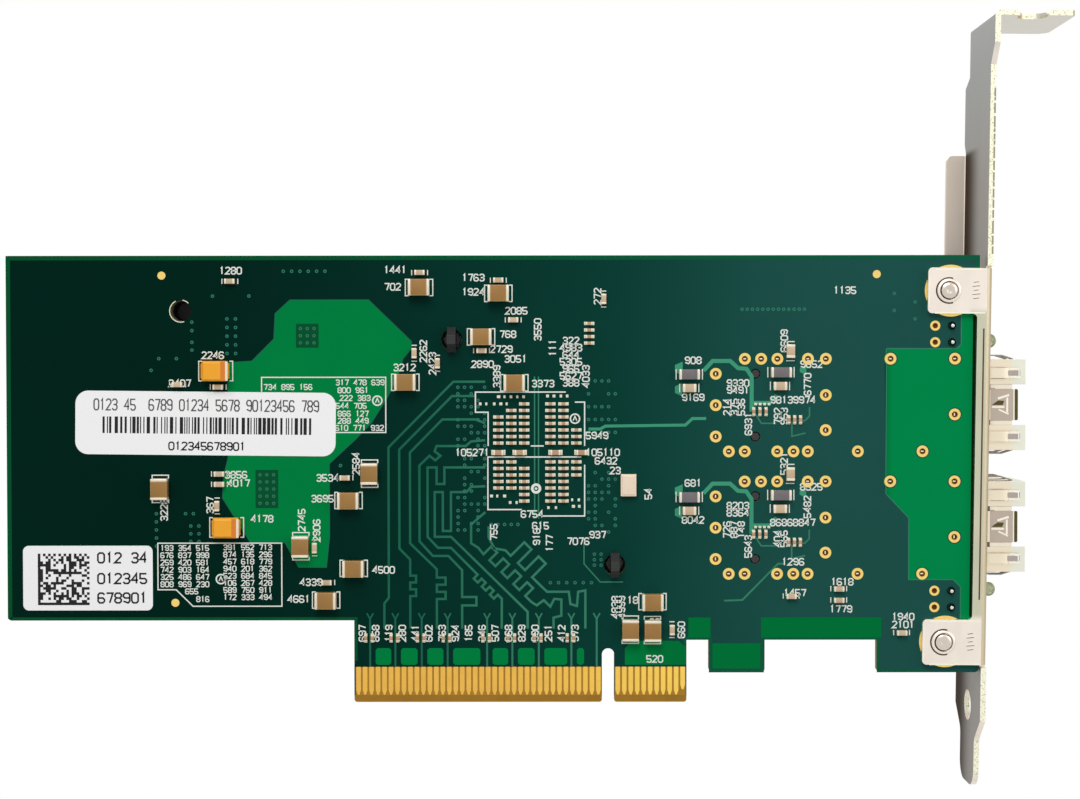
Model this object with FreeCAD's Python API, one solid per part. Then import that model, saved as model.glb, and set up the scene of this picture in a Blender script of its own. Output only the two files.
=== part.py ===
"""Low-profile network interface card with two SFP+ ports, on a full-height slot bracket.

The card stands upright as it does in its slot: +X runs along the card to the bracket, +Z up from the
contact edge, and the side with few, small parts (the solder side) faces -Y.
The origin is on the contact edge, at the middle of the key notch and of the board's thickness.
All lengths are in millimetres.
"""
import FreeCAD, Part

import math
import os

V = FreeCAD.Vector

# ---- circuit board ----
BOARD_THICKNESS = 1.57
BOARD_HEIGHT = 68.9
REAR_REACH = 92.6  # key notch to the rear edge
FRONT_REACH = 57.15  # key notch to the bracket edge
CORNER_RADIUS = 0.6
REAR_STEP_HEIGHT = 12.7  # underside of the long rear part of the board
CONTACT_TONGUE_REAR = 39.15  # key notch to the tongue's rear end
CONTACT_TONGUE_FRONT = 12.1
RECESS_HEIGHT = 9.65
FOOT_HEIGHT = 4.6  # underside of the retention foot and of the bracket end
FOOT_LENGTH = 8.6
FOOT_GAP = 3.45  # tongue to the retention foot
BRACKET_END_LENGTH = 15.7
KEY_WIDTH = 1.9
KEY_DEPTH = 8.35
BEVEL_HEIGHT = 1.1
BEVEL_DEPTH = 0.4
REAR_HOLE_RADIUS = 1.6
REAR_HOLE_INSET = 26.9
REAR_HOLE_DROP = 8.5

# ---- edge contacts ----
CONTACT_PITCH = 1.0
CONTACT_WIDTH = 0.7
CONTACT_THICKNESS = 0.04
CONTACT_TOP = 5.5
CONTACT_TIP = 1.2
SENSE_CONTACT_TIP = 2.0  # the short contact beside the bracket end
FIRST_CONTACT = 1.5

# ---- rear spacer ----
SPACER_RADIUS = 2.9
SPACER_LENGTH = 5.0
SPACER_BORE = 1.5
SPACER_BORE_DEPTH = 4.0

# ---- bracket ----
SHEET = 0.86
BEND_RADIUS = 0.15
BRACKET_WIDTH = 18.42
BRACKET_HEIGHT = 120.02
BRACKET_TOP = 105.96
BRACKET_LEAN = 0.75  # degrees off square, as fitted
BRACKET_GAP = 0.16  # sheet to the board's edge at the foot
TAB_REACH = 9.05
TAB_HEIGHT = 7.0
TAB_CORNER = 0.7
TAB_SCREW_INSET = 5.82
FOLD_STRIP_REACH = 1.45
TAB_EDGE_MARGIN = 2.05  # upper tab to the board's top edge
FOOT_TAB_MARGIN = 1.2  # lower tab to the board's underside
FLANGE_REACH = 3.05
FLANGE_TOP = 85.7
FLANGE_BOTTOM = 9.0
RELIEF = 0.35
HEAD_SHIFT_NEAR = 2.55  # how far the head steps towards the solder side
HEAD_SHIFT_FAR = 3.2
HEAD_STEP_TOP = 101.0
HEAD_STEP_RISE = 3.0
TAB_LENGTH = 11.3  # top tab, from the outer face
NOTCH_RADIUS = 2.21
NOTCH_INSET = 5.1
NOTCH_DEPTH = 3.95
TONGUE_SHOULDER = -2.9
TONGUE_TAPER = 3.5
TONGUE_WIDTH = 10.19
TONGUE_HOLE_RADIUS = 2.4
TONGUE_HOLE_HEIGHT = -1.85
WINDOW_CLEARANCE = 0.8

# ---- bracket screws ----
SCREW_RADIUS = 1.2
SCREW_CLEARANCE = 0.05
SCREW_HEAD_RADIUS = 2.5
SCREW_HEAD_HEIGHT = 1.7
SCREW_PROUD = 0.5  # screw end beyond the tab
SCREW_HOLE_RADIUS = 1.55
RECESS_RADIUS = 0.9

# ---- port cages ----
CAGE_LENGTH = 48.2
CAGE_WIDTH = 14.5
NOSE_WIDTH = 14.05
CAGE_HEIGHT = 9.8
CAGE_WALL = 0.25
CAGE_STANDOFF = 0.1
NOSE_PROUD = 7.5  # nose beyond the board's edge
NOSE_LENGTH = 8.3
LOWER_PORT = 0.3914  # port centres, as shares of the board's height
UPPER_PORT = 0.6655
CAGE_FLOOR_LENGTH = 31.8
STRIP_INNER = 3.15
LATCH_HALF = 2.4
LATCH_SETBACK = 1.2
LATCH_LENGTH = 11.0
LATCH_APEX = 5.05
LATCH_BASE = 2.45
LATCH_HOLE_HALF = 1.53
SLOT_CENTRE = 4.9
SLOT_WIDTH = 0.84
PIN_WIDTH = 0.5
PIN_DROP = 0.2  # pin ends inside the solder face
PIN_HOLE_RADIUS = 0.5
SIDE_PINS_TOP = (4.6, 7.1, 9.6, 14.3, 17.05, 27.0, 36.9)  # from the cage's rear wall
SIDE_PINS_BOTTOM = (2.15, 4.6, 9.6, 12.1, 14.3, 22.0, 31.95)
REAR_PIN_PITCH = 4.83
FLOOR_PINS = ((17.05, 1.55), (17.05, -3.85), (36.9, -1.45))
FINGER_LENGTH = 5.7
FINGER_WIDTH = 1.5
FINGER_BOW = 0.66
FINGER_THICKNESS = 0.12
FINGER_FRONT = 1.55  # finger root behind the nose's front edge
FINGER_PITCH = 4.2

# ---- port connectors ----
CONNECTOR_REAR = 1.7
CONNECTOR_LENGTH = 9.2
CONNECTOR_WIDTH = 12.2
CONNECTOR_HEIGHT = 8.2
CARD_SLOT_WIDTH = 10.4
CARD_SLOT_HEIGHT = 1.9
CARD_SLOT_DEPTH = 6.0
CARD_SLOT_CENTRE = 4.2
PEG_RADIUS = 0.72
PEG_SPACING = 9.7
PEG_INSET = 6.25
PEG_HOLE_RADIUS = 0.78
LEAD_PITCH = 0.8
LEAD_WIDTH = 0.36
LEAD_FOOT = 1.0
LEAD_COUNT = 10

# ---- port lamps ----
LAMP_BODY = 4.4
LAMP_BODY_LENGTH = 6.2
LAMP_HEIGHT = 5.2
LAMP_AXIS_HEIGHT = 2.6  # above the component face
LAMP_GAP = 0.35
LENS_RADIUS = 1.1
LENS_PLACE = 0.152  # lens axis off the lamp's middle, as a share of the room between cage side and tab
LENS_PROUD = 2.4
LAMP_HOLE_RADIUS = 1.75
LAMP_LEAD_PITCH = 2.54
LAMP_LEAD_WIDTH = 0.5
LAMP_LEAD_INSET = 4.3
LAMP_SPARE_INSET = 6.85
LAMP_HOLE = 0.45
SOLDER_RADIUS = 0.62
SOLDER_HEIGHT = 0.9
LAMP_PLACE = 0.545  # share of the way from the cage's side to the tab

# ---- controller and heat sink ----
CHIP_ALONG = -0.1242  # centre, as a share of the reach to the rear edge
CHIP_UP = 0.5602
CHIP_SIZE = 19.0
CHIP_STANDOFF = 0.4
SUBSTRATE_THICKNESS = 1.0
LID_SIZE = 15.0
LID_THICKNESS = 0.9
THERMAL_PAD_THICKNESS = 0.3
SINK_LENGTH = 33.0
SINK_WIDTH = 43.0
SINK_BASE = 2.2
SINK_HEIGHT = 9.2
FIN_THICKNESS = 0.9
FIN_COUNT = 13
SINK_LEDGE = 7.6  # bare corner under each push pin
PUSH_PIN_X = 12.53
PUSH_PIN_Z = 17.35
PUSH_PIN_RADIUS = 1.35
PUSH_PIN_HOLE = 1.65
PUSH_HEAD_RADIUS = 2.9
PUSH_HEAD_HEIGHT = 1.4
PUSH_HEAD_LIFT = 5.0
BLADE_WIDTH = 1.3
BLADE_HEIGHT = 2.5
BARB_HALF = 1.95
BARB_LENGTH = 2.3
BARB_SLIT = 0.5
SPRING_RADIUS = 2.1
SPRING_WIRE = 0.35
SPRING_TURNS = 3
SPRING_STEPS = 6

# ---- power and memory parts of the component side ----
INDUCTOR_SIZE = (7.0, 3.0)  # side, height
REGULATOR_SIZE = (5.0, 0.9)
MEMORY_SIZE = (5.0, 3.9, 1.6)
MEMORY_LEADS = 4
MEMORY_LEAD_PITCH = 1.27
MEMORY_LEAD_REACH = 1.0
MEMORY_LEAD_THICKNESS = 0.3
INDUCTOR_SPOTS = {"upper": (-0.6, 0.82), "lower": (-0.66, 0.48)}  # shares of the reach and height
REGULATOR_SPOTS = {"upper": (-0.5, 0.82), "lower": (-0.568, 0.48)}
MEMORY_SPOT = (-0.45, 0.27)

# ---- surface-mounted parts: length, width, height ----
BULK_SIZE = (3.3, 2.6, 1.7)
MEDIUM_SIZE = (2.1, 1.3, 0.9)
SMALL_SIZE = (1.6, 0.8, 0.75)
TINY_SIZE = (1.0, 0.5, 0.45)
BEAD_SIZE = (3.2, 1.6, 1.1)
TANTALUM_SIZE = (4.3, 3.1, 1.9)
CRYSTAL_SIZE = (2.4, 3.4, 0.8)
TERMINAL_SHARE = 0.22
TERMINAL_PROUD = 0.04
DECOUPLING_PITCH = 1.005
DECOUPLING_GRID = (  # each column: offset from the chip's middle, parts above and below, rows skipped below
    (-5.38, 5, 5, 0), (-3.39, 6, 5, 0), (-1.4, 7, 6, 1), (2.63, 7, 7, 0), (4.64, 7, 7, 0), (6.63, 3, 3, 0))
DECOUPLING_GAP = 1.45
MIDDLE_ROW = (-5.38, -2.1, 3.4, 7.4)  # larger parts between the two halves of the grid
MIDDLE_SIZE = (1.6, 0.8, 0.65)

# ---- labels ----
LABEL_THICKNESS = 0.1
LARGE_LABEL = (40.1, 9.8, 2.0)  # length, height, corner radius
LARGE_LABEL_TILT = 0.6
SMALL_LABEL = (20.0, 10.0, 0.9)

SOLDER_FACE = -BOARD_THICKNESS / 2
COMPONENT_FACE = BOARD_THICKNESS / 2
NEAR_EDGE = SOLDER_FACE - SHEET
FAR_EDGE = NEAR_EDGE + BRACKET_WIDTH
BEND_OUTER = BEND_RADIUS + SHEET
BRACKET_FACE = FRONT_REACH + BRACKET_GAP  # inner face before the lean
UPPER_TAB = BOARD_HEIGHT - TAB_EDGE_MARGIN - TAB_HEIGHT / 2
LOWER_TAB = FOOT_HEIGHT + FOOT_TAB_MARGIN + TAB_HEIGHT / 2
PORTS = {"lower": LOWER_PORT * BOARD_HEIGHT, "upper": UPPER_PORT * BOARD_HEIGHT}
UPPER_CAGE_SIDE = PORTS["upper"] + CAGE_WIDTH / 2
LOWER_CAGE_SIDE = PORTS["lower"] - CAGE_WIDTH / 2
UPPER_TAB_SIDE = UPPER_TAB - TAB_HEIGHT / 2
LOWER_TAB_SIDE = LOWER_TAB + TAB_HEIGHT / 2
LOWER_LAMP_ROOM = LOWER_CAGE_SIDE - LOWER_TAB_SIDE
UPPER_LAMP_ROOM = UPPER_TAB_SIDE - UPPER_CAGE_SIDE
LAMPS = {"lower": (LOWER_CAGE_SIDE - LAMP_PLACE * LOWER_LAMP_ROOM, LENS_PLACE * LOWER_LAMP_ROOM),
         "upper": (UPPER_CAGE_SIDE + LAMP_PLACE * UPPER_LAMP_ROOM, -LENS_PLACE * UPPER_LAMP_ROOM)}
CAGE_FRONT = FRONT_REACH + NOSE_PROUD
CAGE_REAR = CAGE_FRONT - CAGE_LENGTH
CAGE_FLOOR = COMPONENT_FACE + CAGE_STANDOFF
CAGE_TOP = CAGE_FLOOR + CAGE_HEIGHT
CHIP_X = CHIP_ALONG * REAR_REACH
CHIP_Z = CHIP_UP * BOARD_HEIGHT
SINK_FACE = COMPONENT_FACE + CHIP_STANDOFF + SUBSTRATE_THICKNESS + LID_THICKNESS + THERMAL_PAD_THICKNESS
REAR_HOLE = (REAR_HOLE_INSET - REAR_REACH, BOARD_HEIGHT - REAR_HOLE_DROP)


# ---- helpers ----
def block(x0, x1, y0, y1, z0, z1):
    """Box between two values of each coordinate."""
    return Part.makeBox(x1 - x0, y1 - y0, z1 - z0, V(x0, y0, z0))


def centred(x, z, length, height, y0, y1):
    """Box round (x, z), from y0 to y1."""
    return block(x - length / 2, x + length / 2, min(y0, y1), max(y0, y1), z - height / 2, z + height / 2)


def rod_y(x, z, radius, y0, y1):
    """Round bar along Y."""
    return Part.makeCylinder(radius, y1 - y0, V(x, y0, z), V(0, 1, 0))


def prism_y(x, z, radius, sides, y0, y1):
    """Many-sided bar along Y, for bores and pegs too small to need a true round."""
    turns = [2 * math.pi * n / sides for n in range(sides)]
    corners = [V(x + radius * math.cos(turn), y0, z + radius * math.sin(turn)) for turn in turns]
    return Part.Face(Part.makePolygon(corners + corners[:1])).extrude(V(0, y1 - y0, 0))


def rod_x(y, z, radius, x0, x1):
    """Round bar along X."""
    return Part.makeCylinder(radius, x1 - x0, V(x0, y, z), V(1, 0, 0))


def prism_x(y, z, radius, sides, x0, x1):
    """Many-sided bar along X."""
    turns = [2 * math.pi * n / sides for n in range(sides)]
    corners = [V(x0, y + radius * math.cos(turn), z + radius * math.sin(turn)) for turn in turns]
    return Part.Face(Part.makePolygon(corners + corners[:1])).extrude(V(x1 - x0, 0, 0))


def along(share):
    """X of a share of the reach to the rear edge (minus) or to the bracket edge (plus)."""
    return share * (FRONT_REACH if share > 0 else REAR_REACH)


def up(share):
    """Z of a share of the board's height."""
    return share * BOARD_HEIGHT


def outline_edges(corners, place):
    """Edges of a closed outline of (u, v, radius) corners, each rounded with its radius."""
    edges = []
    ends = []
    for index, (u, v, radius) in enumerate(corners):
        here = V(u, v, 0)
        before = V(*corners[index - 1][:2], 0) - here
        after = V(*corners[(index + 1) % len(corners)][:2], 0) - here
        half = before.getAngle(after) / 2
        before.normalize()
        after.normalize()
        trim = radius / math.tan(half)
        entry = here + before * trim
        leave = here + after * trim
        if radius > 0:
            inward = (before + after).normalize()
            middle = here + inward * (radius / math.sin(half) - radius)
            points = [place(p.x, p.y) for p in (entry, middle, leave)]
            edges.append(Part.Arc(*points).toShape())
        ends.append((entry, leave))
    for index, (_, leave) in enumerate(ends):
        entry = ends[(index + 1) % len(ends)][0]
        if leave.distanceToPoint(entry) > 1e-6:
            edges.append(Part.makeLine(place(leave.x, leave.y), place(entry.x, entry.y)))
    return edges


def sheet_part(corners, place, push):
    """Solid made by pushing a rounded outline along a vector."""
    wire = Part.Wire(Part.__sortEdges__(outline_edges(corners, place)))
    return Part.Face(wire).extrude(push)


def upright(y):
    """Places an (x, z) outline at depth y."""
    return lambda u, v: V(u, y, v)


def facing_x(x):
    """Places a (y, z) outline at x."""
    return lambda u, v: V(x, u, v)


def level(z):
    """Places an (x, y) outline at height z."""
    return lambda u, v: V(u, v, z)


def join(first, *others):
    """One solid from pieces that touch or overlap."""
    return first.fuse(list(others)).removeSplitter()


def lean(shape):
    """Tips a piece about the bracket's foot, as the bracket leans."""
    tipped = shape.copy()
    tipped.rotate(V(BRACKET_FACE, 0, FOOT_HEIGHT), V(0, 1, 0), BRACKET_LEAN)
    return tipped


def leaned_point(x, z):
    """Where an (x, z) point of the bracket lies once it leans."""
    angle = math.radians(BRACKET_LEAN)
    dx = x - BRACKET_FACE
    dz = z - FOOT_HEIGHT
    return (BRACKET_FACE + dx * math.cos(angle) + dz * math.sin(angle),
            FOOT_HEIGHT + dz * math.cos(angle) - dx * math.sin(angle))


def screw_points():
    """Axes of the two bracket screws."""
    return {"upper": leaned_point(BRACKET_FACE - TAB_SCREW_INSET, UPPER_TAB),
            "lower": leaned_point(BRACKET_FACE - TAB_SCREW_INSET, LOWER_TAB)}


def push_pin_points():
    """Axes of the two heat sink push pins."""
    return {"upper": (CHIP_X - PUSH_PIN_X, CHIP_Z + PUSH_PIN_Z),
            "lower": (CHIP_X + PUSH_PIN_X, CHIP_Z - PUSH_PIN_Z)}


def side_pin_points(port):
    """(x, z) of every pin of one cage: side rows, rear row and floor pins."""
    row = (CAGE_WIDTH - CAGE_WALL) / 2
    points = [(CAGE_REAR + x, port + row) for x in SIDE_PINS_TOP]
    points += [(CAGE_REAR + x, port - row) for x in SIDE_PINS_BOTTOM]
    points += [(CAGE_REAR + CAGE_WALL / 2, port + n * REAR_PIN_PITCH) for n in (-1, 0, 1)]
    points += [(CAGE_REAR + x, port + z) for x, z in FLOOR_PINS]
    return points


def peg_points(port):
    """(x, z) of the two locating pegs of one connector."""
    return [(CAGE_REAR + PEG_INSET, port + side * PEG_SPACING / 2) for side in (-1, 1)]


def lamp_lead_points(lamp, inset):
    """(x, z) of a pair of lamp lead holes."""
    return [(FRONT_REACH - inset, lamp + side * LAMP_LEAD_PITCH / 2) for side in (-1, 1)]


# ---- circuit board ----
def board_outline():
    """Corners of the board, from the rear step round to the rear top."""
    foot_start = CONTACT_TONGUE_FRONT + FOOT_GAP
    foot_end = foot_start + FOOT_LENGTH
    end_start = FRONT_REACH - BRACKET_END_LENGTH
    half_key = KEY_WIDTH / 2
    r = CORNER_RADIUS
    return [(-REAR_REACH, REAR_STEP_HEIGHT, r), (-CONTACT_TONGUE_REAR, REAR_STEP_HEIGHT, 0),
            (-CONTACT_TONGUE_REAR, 0, r), (-half_key, 0, 0),
            (-half_key, KEY_DEPTH, half_key), (half_key, KEY_DEPTH, half_key),
            (half_key, 0, 0), (CONTACT_TONGUE_FRONT, 0, r),
            (CONTACT_TONGUE_FRONT, RECESS_HEIGHT, 0), (foot_start, RECESS_HEIGHT, 0),
            (foot_start, FOOT_HEIGHT, r), (foot_end, FOOT_HEIGHT, r),
            (foot_end, RECESS_HEIGHT, 0), (end_start, RECESS_HEIGHT, 0),
            (end_start, FOOT_HEIGHT, r), (FRONT_REACH, FOOT_HEIGHT, r),
            (FRONT_REACH, BOARD_HEIGHT, r), (-REAR_REACH, BOARD_HEIGHT, r)]


def edge_bevel(side):
    """Wedge that bevels one face of the contact edge."""
    face = side * BOARD_THICKNESS / 2
    corners = [V(0, face, 0), V(0, face, BEVEL_HEIGHT), V(0, face - side * BEVEL_DEPTH, 0), V(0, face, 0)]
    wedge = Part.Face(Part.makePolygon(corners)).extrude(V(CONTACT_TONGUE_REAR + CONTACT_TONGUE_FRONT, 0, 0))
    wedge.translate(V(-CONTACT_TONGUE_REAR, 0, 0))
    return wedge


def fixing_holes():
    """(x, z, radius) of the holes that take a bracket screw or a push pin."""
    holes = [(x, z, SCREW_HOLE_RADIUS) for x, z in screw_points().values()]
    return holes + [(x, z, PUSH_PIN_HOLE) for x, z in push_pin_points().values()]


def plated_holes():
    """(x, z, radius) of the small holes for cage pins, connector pegs and lamp leads."""
    holes = []
    for port in PORTS.values():
        holes += [(x, z, PIN_HOLE_RADIUS) for x, z in side_pin_points(port)]
        holes += [(x, z, PEG_HOLE_RADIUS) for x, z in peg_points(port)]
    for lamp, _ in LAMPS.values():
        for inset in (LAMP_LEAD_INSET, LAMP_SPARE_INSET):
            holes += [(x, z, LAMP_HOLE) for x, z in lamp_lead_points(lamp, inset)]
    return holes


def circuit_board():
    """Board with its notches, holes and bevelled contact edge."""
    board = sheet_part(board_outline(), upright(SOLDER_FACE), V(0, BOARD_THICKNESS, 0))
    drills = [rod_y(*REAR_HOLE, REAR_HOLE_RADIUS, SOLDER_FACE - 1, COMPONENT_FACE + 1)]
    drills += [prism_y(x, z, r, 12, SOLDER_FACE - 1, COMPONENT_FACE + 1) for x, z, r in fixing_holes()]
    drills += [prism_y(x, z, r, 6, SOLDER_FACE - 1, COMPONENT_FACE + 1) for x, z, r in plated_holes()]
    return board.cut([edge_bevel(-1), edge_bevel(1)] + drills)


def rear_spacer():
    """Moulded spacer with a blind bore behind the rear hole."""
    spacer = prism_y(*REAR_HOLE, SPACER_RADIUS, 12, COMPONENT_FACE, COMPONENT_FACE + SPACER_LENGTH)
    bore_end = COMPONENT_FACE + SPACER_BORE_DEPTH
    return spacer.cut(prism_y(*REAR_HOLE, SPACER_BORE, 12, COMPONENT_FACE, bore_end))


def contact_centres():
    """X of every edge contact, on both sides of the key."""
    rear = int((CONTACT_TONGUE_REAR - FIRST_CONTACT) / CONTACT_PITCH)
    front = int((CONTACT_TONGUE_FRONT - FIRST_CONTACT) / CONTACT_PITCH)
    return ([-FIRST_CONTACT - n * CONTACT_PITCH for n in range(rear + 1)],
            [FIRST_CONTACT + n * CONTACT_PITCH for n in range(front + 1)])


def edge_contacts(side):
    """Gold contacts on one face; the one beside the bracket end starts higher."""
    rear, front = contact_centres()
    half = CONTACT_WIDTH / 2
    y = SOLDER_FACE - CONTACT_THICKNESS if side < 0 else COMPONENT_FACE
    pads = []
    for x in rear + front:
        tip = SENSE_CONTACT_TIP if x == front[-1] else CONTACT_TIP
        pads.append(block(x - half, x + half, y, y + CONTACT_THICKNESS, tip, CONTACT_TOP))
    return pads


# ---- bracket ----
def bracket_leg():
    """Upright sheet: head, full-width body, and the tapered tongue below."""
    middle = (NEAR_EDGE + FAR_EDGE) / 2
    tongue = TONGUE_WIDTH / 2
    tip = BRACKET_TOP - BRACKET_HEIGHT
    narrow = TONGUE_SHOULDER - TONGUE_TAPER
    near_fold = NEAR_EDGE + BEND_OUTER
    far_fold = FAR_EDGE - BEND_OUTER
    fold_low = LOWER_TAB - TAB_HEIGHT / 2 - RELIEF
    fold_high = UPPER_TAB + TAB_HEIGHT / 2 + RELIEF
    head_low = HEAD_STEP_TOP - HEAD_STEP_RISE
    head_near = NEAR_EDGE - HEAD_SHIFT_NEAR
    head_far = FAR_EDGE - HEAD_SHIFT_FAR
    head_top = BRACKET_TOP - BEND_OUTER
    far_step = head_low - HEAD_STEP_RISE / 2
    corners = [(middle - tongue, tip, 3.0), (middle + tongue, tip, 3.0),
               (middle + tongue, narrow, 2.0), (FAR_EDGE, TONGUE_SHOULDER, 0),
               (FAR_EDGE, FLANGE_BOTTOM - RELIEF, 0), (far_fold, FLANGE_BOTTOM - RELIEF, 0),
               (far_fold, FLANGE_TOP + RELIEF, 0), (FAR_EDGE, FLANGE_TOP + BEND_OUTER + SHEET, 0),
               (FAR_EDGE, far_step, 0), (head_far, head_low, 0), (head_far, head_top, 0),
               (head_near, head_top, 0), (head_near, HEAD_STEP_TOP, 0), (NEAR_EDGE, head_low, 0),
               (NEAR_EDGE, fold_high, 0), (near_fold, fold_high, 0), (near_fold, fold_low, 0),
               (NEAR_EDGE, fold_low, 0), (NEAR_EDGE, TONGUE_SHOULDER, 0), (middle - tongue, narrow, 2.0)]
    return sheet_part(corners, facing_x(BRACKET_FACE), V(SHEET, 0, 0))


def bend(turn, low, high, place, push_axis):
    """Quarter bend: turn(a, b) sets its section, low and high its span along push_axis."""
    edges = []
    for radius in (BEND_RADIUS, BEND_OUTER):
        points = [turn(radius * math.cos(a), radius * math.sin(a)) for a in (0, math.pi / 4, math.pi / 2)]
        edges.append(Part.Arc(*[place(*p) for p in points]).toShape())
    for a in (0, math.pi / 2):
        ends = [place(*turn(r * math.cos(a), r * math.sin(a))) for r in (BEND_RADIUS, BEND_OUTER)]
        edges.append(Part.makeLine(*ends))
    section = Part.Face(Part.Wire(Part.__sortEdges__(edges)))
    section.translate(push_axis * low)
    return section.extrude(push_axis * (high - low))


def solder_side_fold():
    """Fold along the near edge: two screw tabs joined by a narrow strip."""
    low = LOWER_TAB - TAB_HEIGHT / 2
    high = UPPER_TAB + TAB_HEIGHT / 2
    start = BRACKET_FACE - BEND_RADIUS
    tab = BRACKET_FACE - TAB_REACH
    strip = BRACKET_FACE - FOLD_STRIP_REACH
    corners = [(start, low, 0), (tab, low, TAB_CORNER), (tab, low + TAB_HEIGHT, TAB_CORNER),
               (strip, low + TAB_HEIGHT, TAB_CORNER), (strip, high - TAB_HEIGHT, TAB_CORNER),
               (tab, high - TAB_HEIGHT, TAB_CORNER), (tab, high, TAB_CORNER), (start, high, 0)]
    flat = sheet_part(corners, upright(NEAR_EDGE), V(0, SHEET, 0))
    centre = (BRACKET_FACE - BEND_RADIUS, NEAR_EDGE + BEND_OUTER)
    curve = bend(lambda a, b: (centre[0] + a, centre[1] - b), low, high, level(0), V(0, 0, 1))
    return [flat, curve]


def stiffening_flange():
    """Shallow fold along the far edge that stiffens the sheet."""
    start = BRACKET_FACE - BEND_RADIUS
    end = BRACKET_FACE - FLANGE_REACH
    corners = [(start, FLANGE_BOTTOM, 0), (end, FLANGE_BOTTOM, 1.0), (end, FLANGE_TOP, 1.0),
               (start, FLANGE_TOP, 0)]
    flat = sheet_part(corners, upright(FAR_EDGE - SHEET), V(0, SHEET, 0))
    centre = (BRACKET_FACE - BEND_RADIUS, FAR_EDGE - BEND_OUTER)
    curve = bend(lambda a, b: (centre[0] + a, centre[1] + b), FLANGE_BOTTOM, FLANGE_TOP, level(0), V(0, 0, 1))
    return [flat, curve]


def top_tab():
    """Tab that the chassis screw holds down, with its open screw notch."""
    near = NEAR_EDGE - HEAD_SHIFT_NEAR
    far = FAR_EDGE - HEAD_SHIFT_FAR
    start = BRACKET_FACE + SHEET + BEND_RADIUS
    end = BRACKET_FACE + SHEET + TAB_LENGTH
    bottom = BRACKET_TOP - SHEET
    corners = [(start, near, 0), (end, near, 0.8), (end, far, 2.2), (start, far, 0)]
    flat = sheet_part(corners, level(bottom), V(0, 0, SHEET))
    notch_x = BRACKET_FACE + SHEET + NOTCH_INSET
    notch_y = near + NOTCH_DEPTH - NOTCH_RADIUS
    round_end = Part.makeCylinder(NOTCH_RADIUS, 3 * SHEET, V(notch_x, notch_y, bottom - SHEET))
    mouth = block(notch_x - NOTCH_RADIUS, notch_x + NOTCH_RADIUS, near - 1, notch_y,
                  bottom - SHEET, BRACKET_TOP + 1)
    curve = bend(lambda a, b: (start - a, BRACKET_TOP - BEND_OUTER + b), near, far,
                 lambda u, v: V(u, 0, v), V(0, 1, 0))
    return [flat.cut([round_end, mouth]), curve]


def bracket_cuts():
    """Port windows, lamp holes, tongue hole and tapped screw holes, before the lean."""
    x0 = BRACKET_FACE - 1
    x1 = BRACKET_FACE + SHEET + 1
    cuts = []
    for port in PORTS.values():
        half = NOSE_WIDTH / 2 + WINDOW_CLEARANCE
        cuts.append(block(x0, x1, CAGE_FLOOR - WINDOW_CLEARANCE, CAGE_TOP + WINDOW_CLEARANCE,
                          port - half, port + half))
    for lamp, shift in LAMPS.values():
        cuts.append(prism_x(COMPONENT_FACE + LAMP_AXIS_HEIGHT, lamp + shift, LAMP_HOLE_RADIUS, 12, x0, x1))
    cuts.append(rod_x((NEAR_EDGE + FAR_EDGE) / 2, TONGUE_HOLE_HEIGHT, TONGUE_HOLE_RADIUS, x0, x1))
    for z in (LOWER_TAB, UPPER_TAB):
        thread = SCREW_RADIUS + SCREW_CLEARANCE
        cuts.append(prism_y(BRACKET_FACE - TAB_SCREW_INSET, z, thread, 12, NEAR_EDGE - 1, 0))
    return cuts


def bracket():
    """The whole bent-sheet bracket, leaning as it is fitted."""
    folded = solder_side_fold() + stiffening_flange() + top_tab()
    return lean(join(bracket_leg(), *folded).cut(bracket_cuts()))


def bracket_screw(x, z):
    """Screw from the component side into the bracket tab, with a cross-recessed head."""
    seat = COMPONENT_FACE
    shank = prism_y(x, z, SCREW_RADIUS, 12, NEAR_EDGE - SCREW_PROUD, seat)
    head = rod_y(x, z, SCREW_HEAD_RADIUS, seat, seat + SCREW_HEAD_HEIGHT)
    drive = [centred(x, z, w, h, seat + SCREW_HEAD_HEIGHT * 0.4, seat + SCREW_HEAD_HEIGHT + 1)
             for w, h in ((RECESS_RADIUS * 2, 0.5), (0.5, RECESS_RADIUS * 2))]
    return join(shank, head).cut(drive)


# ---- port cages ----
def cage_shell(port):
    """Open-fronted box of thin sheet, narrower where the nose passes the bracket."""
    outer_half = CAGE_WIDTH / 2
    nose_half = NOSE_WIDTH / 2
    shoulder = CAGE_FRONT - NOSE_LENGTH
    body = block(CAGE_REAR, shoulder, CAGE_FLOOR, CAGE_TOP, port - outer_half, port + outer_half)
    nose = block(shoulder, CAGE_FRONT, CAGE_FLOOR, CAGE_TOP, port - nose_half, port + nose_half)
    w = CAGE_WALL
    hollow_body = block(CAGE_REAR + w, shoulder - w, CAGE_FLOOR + w, CAGE_TOP - w,
                        port - outer_half + w, port + outer_half - w)
    hollow_nose = block(shoulder - w, CAGE_FRONT + 1, CAGE_FLOOR + w, CAGE_TOP - w,
                        port - nose_half + w, port + nose_half - w)
    floor_start = CAGE_FRONT - CAGE_FLOOR_LENGTH
    connector_gap = block(CAGE_REAR + w, floor_start, CAGE_FLOOR - 1, CAGE_FLOOR + w,
                          port - outer_half + w, port + outer_half - w)
    return join(body, nose).cut([hollow_body, hollow_nose, connector_gap])


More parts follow.
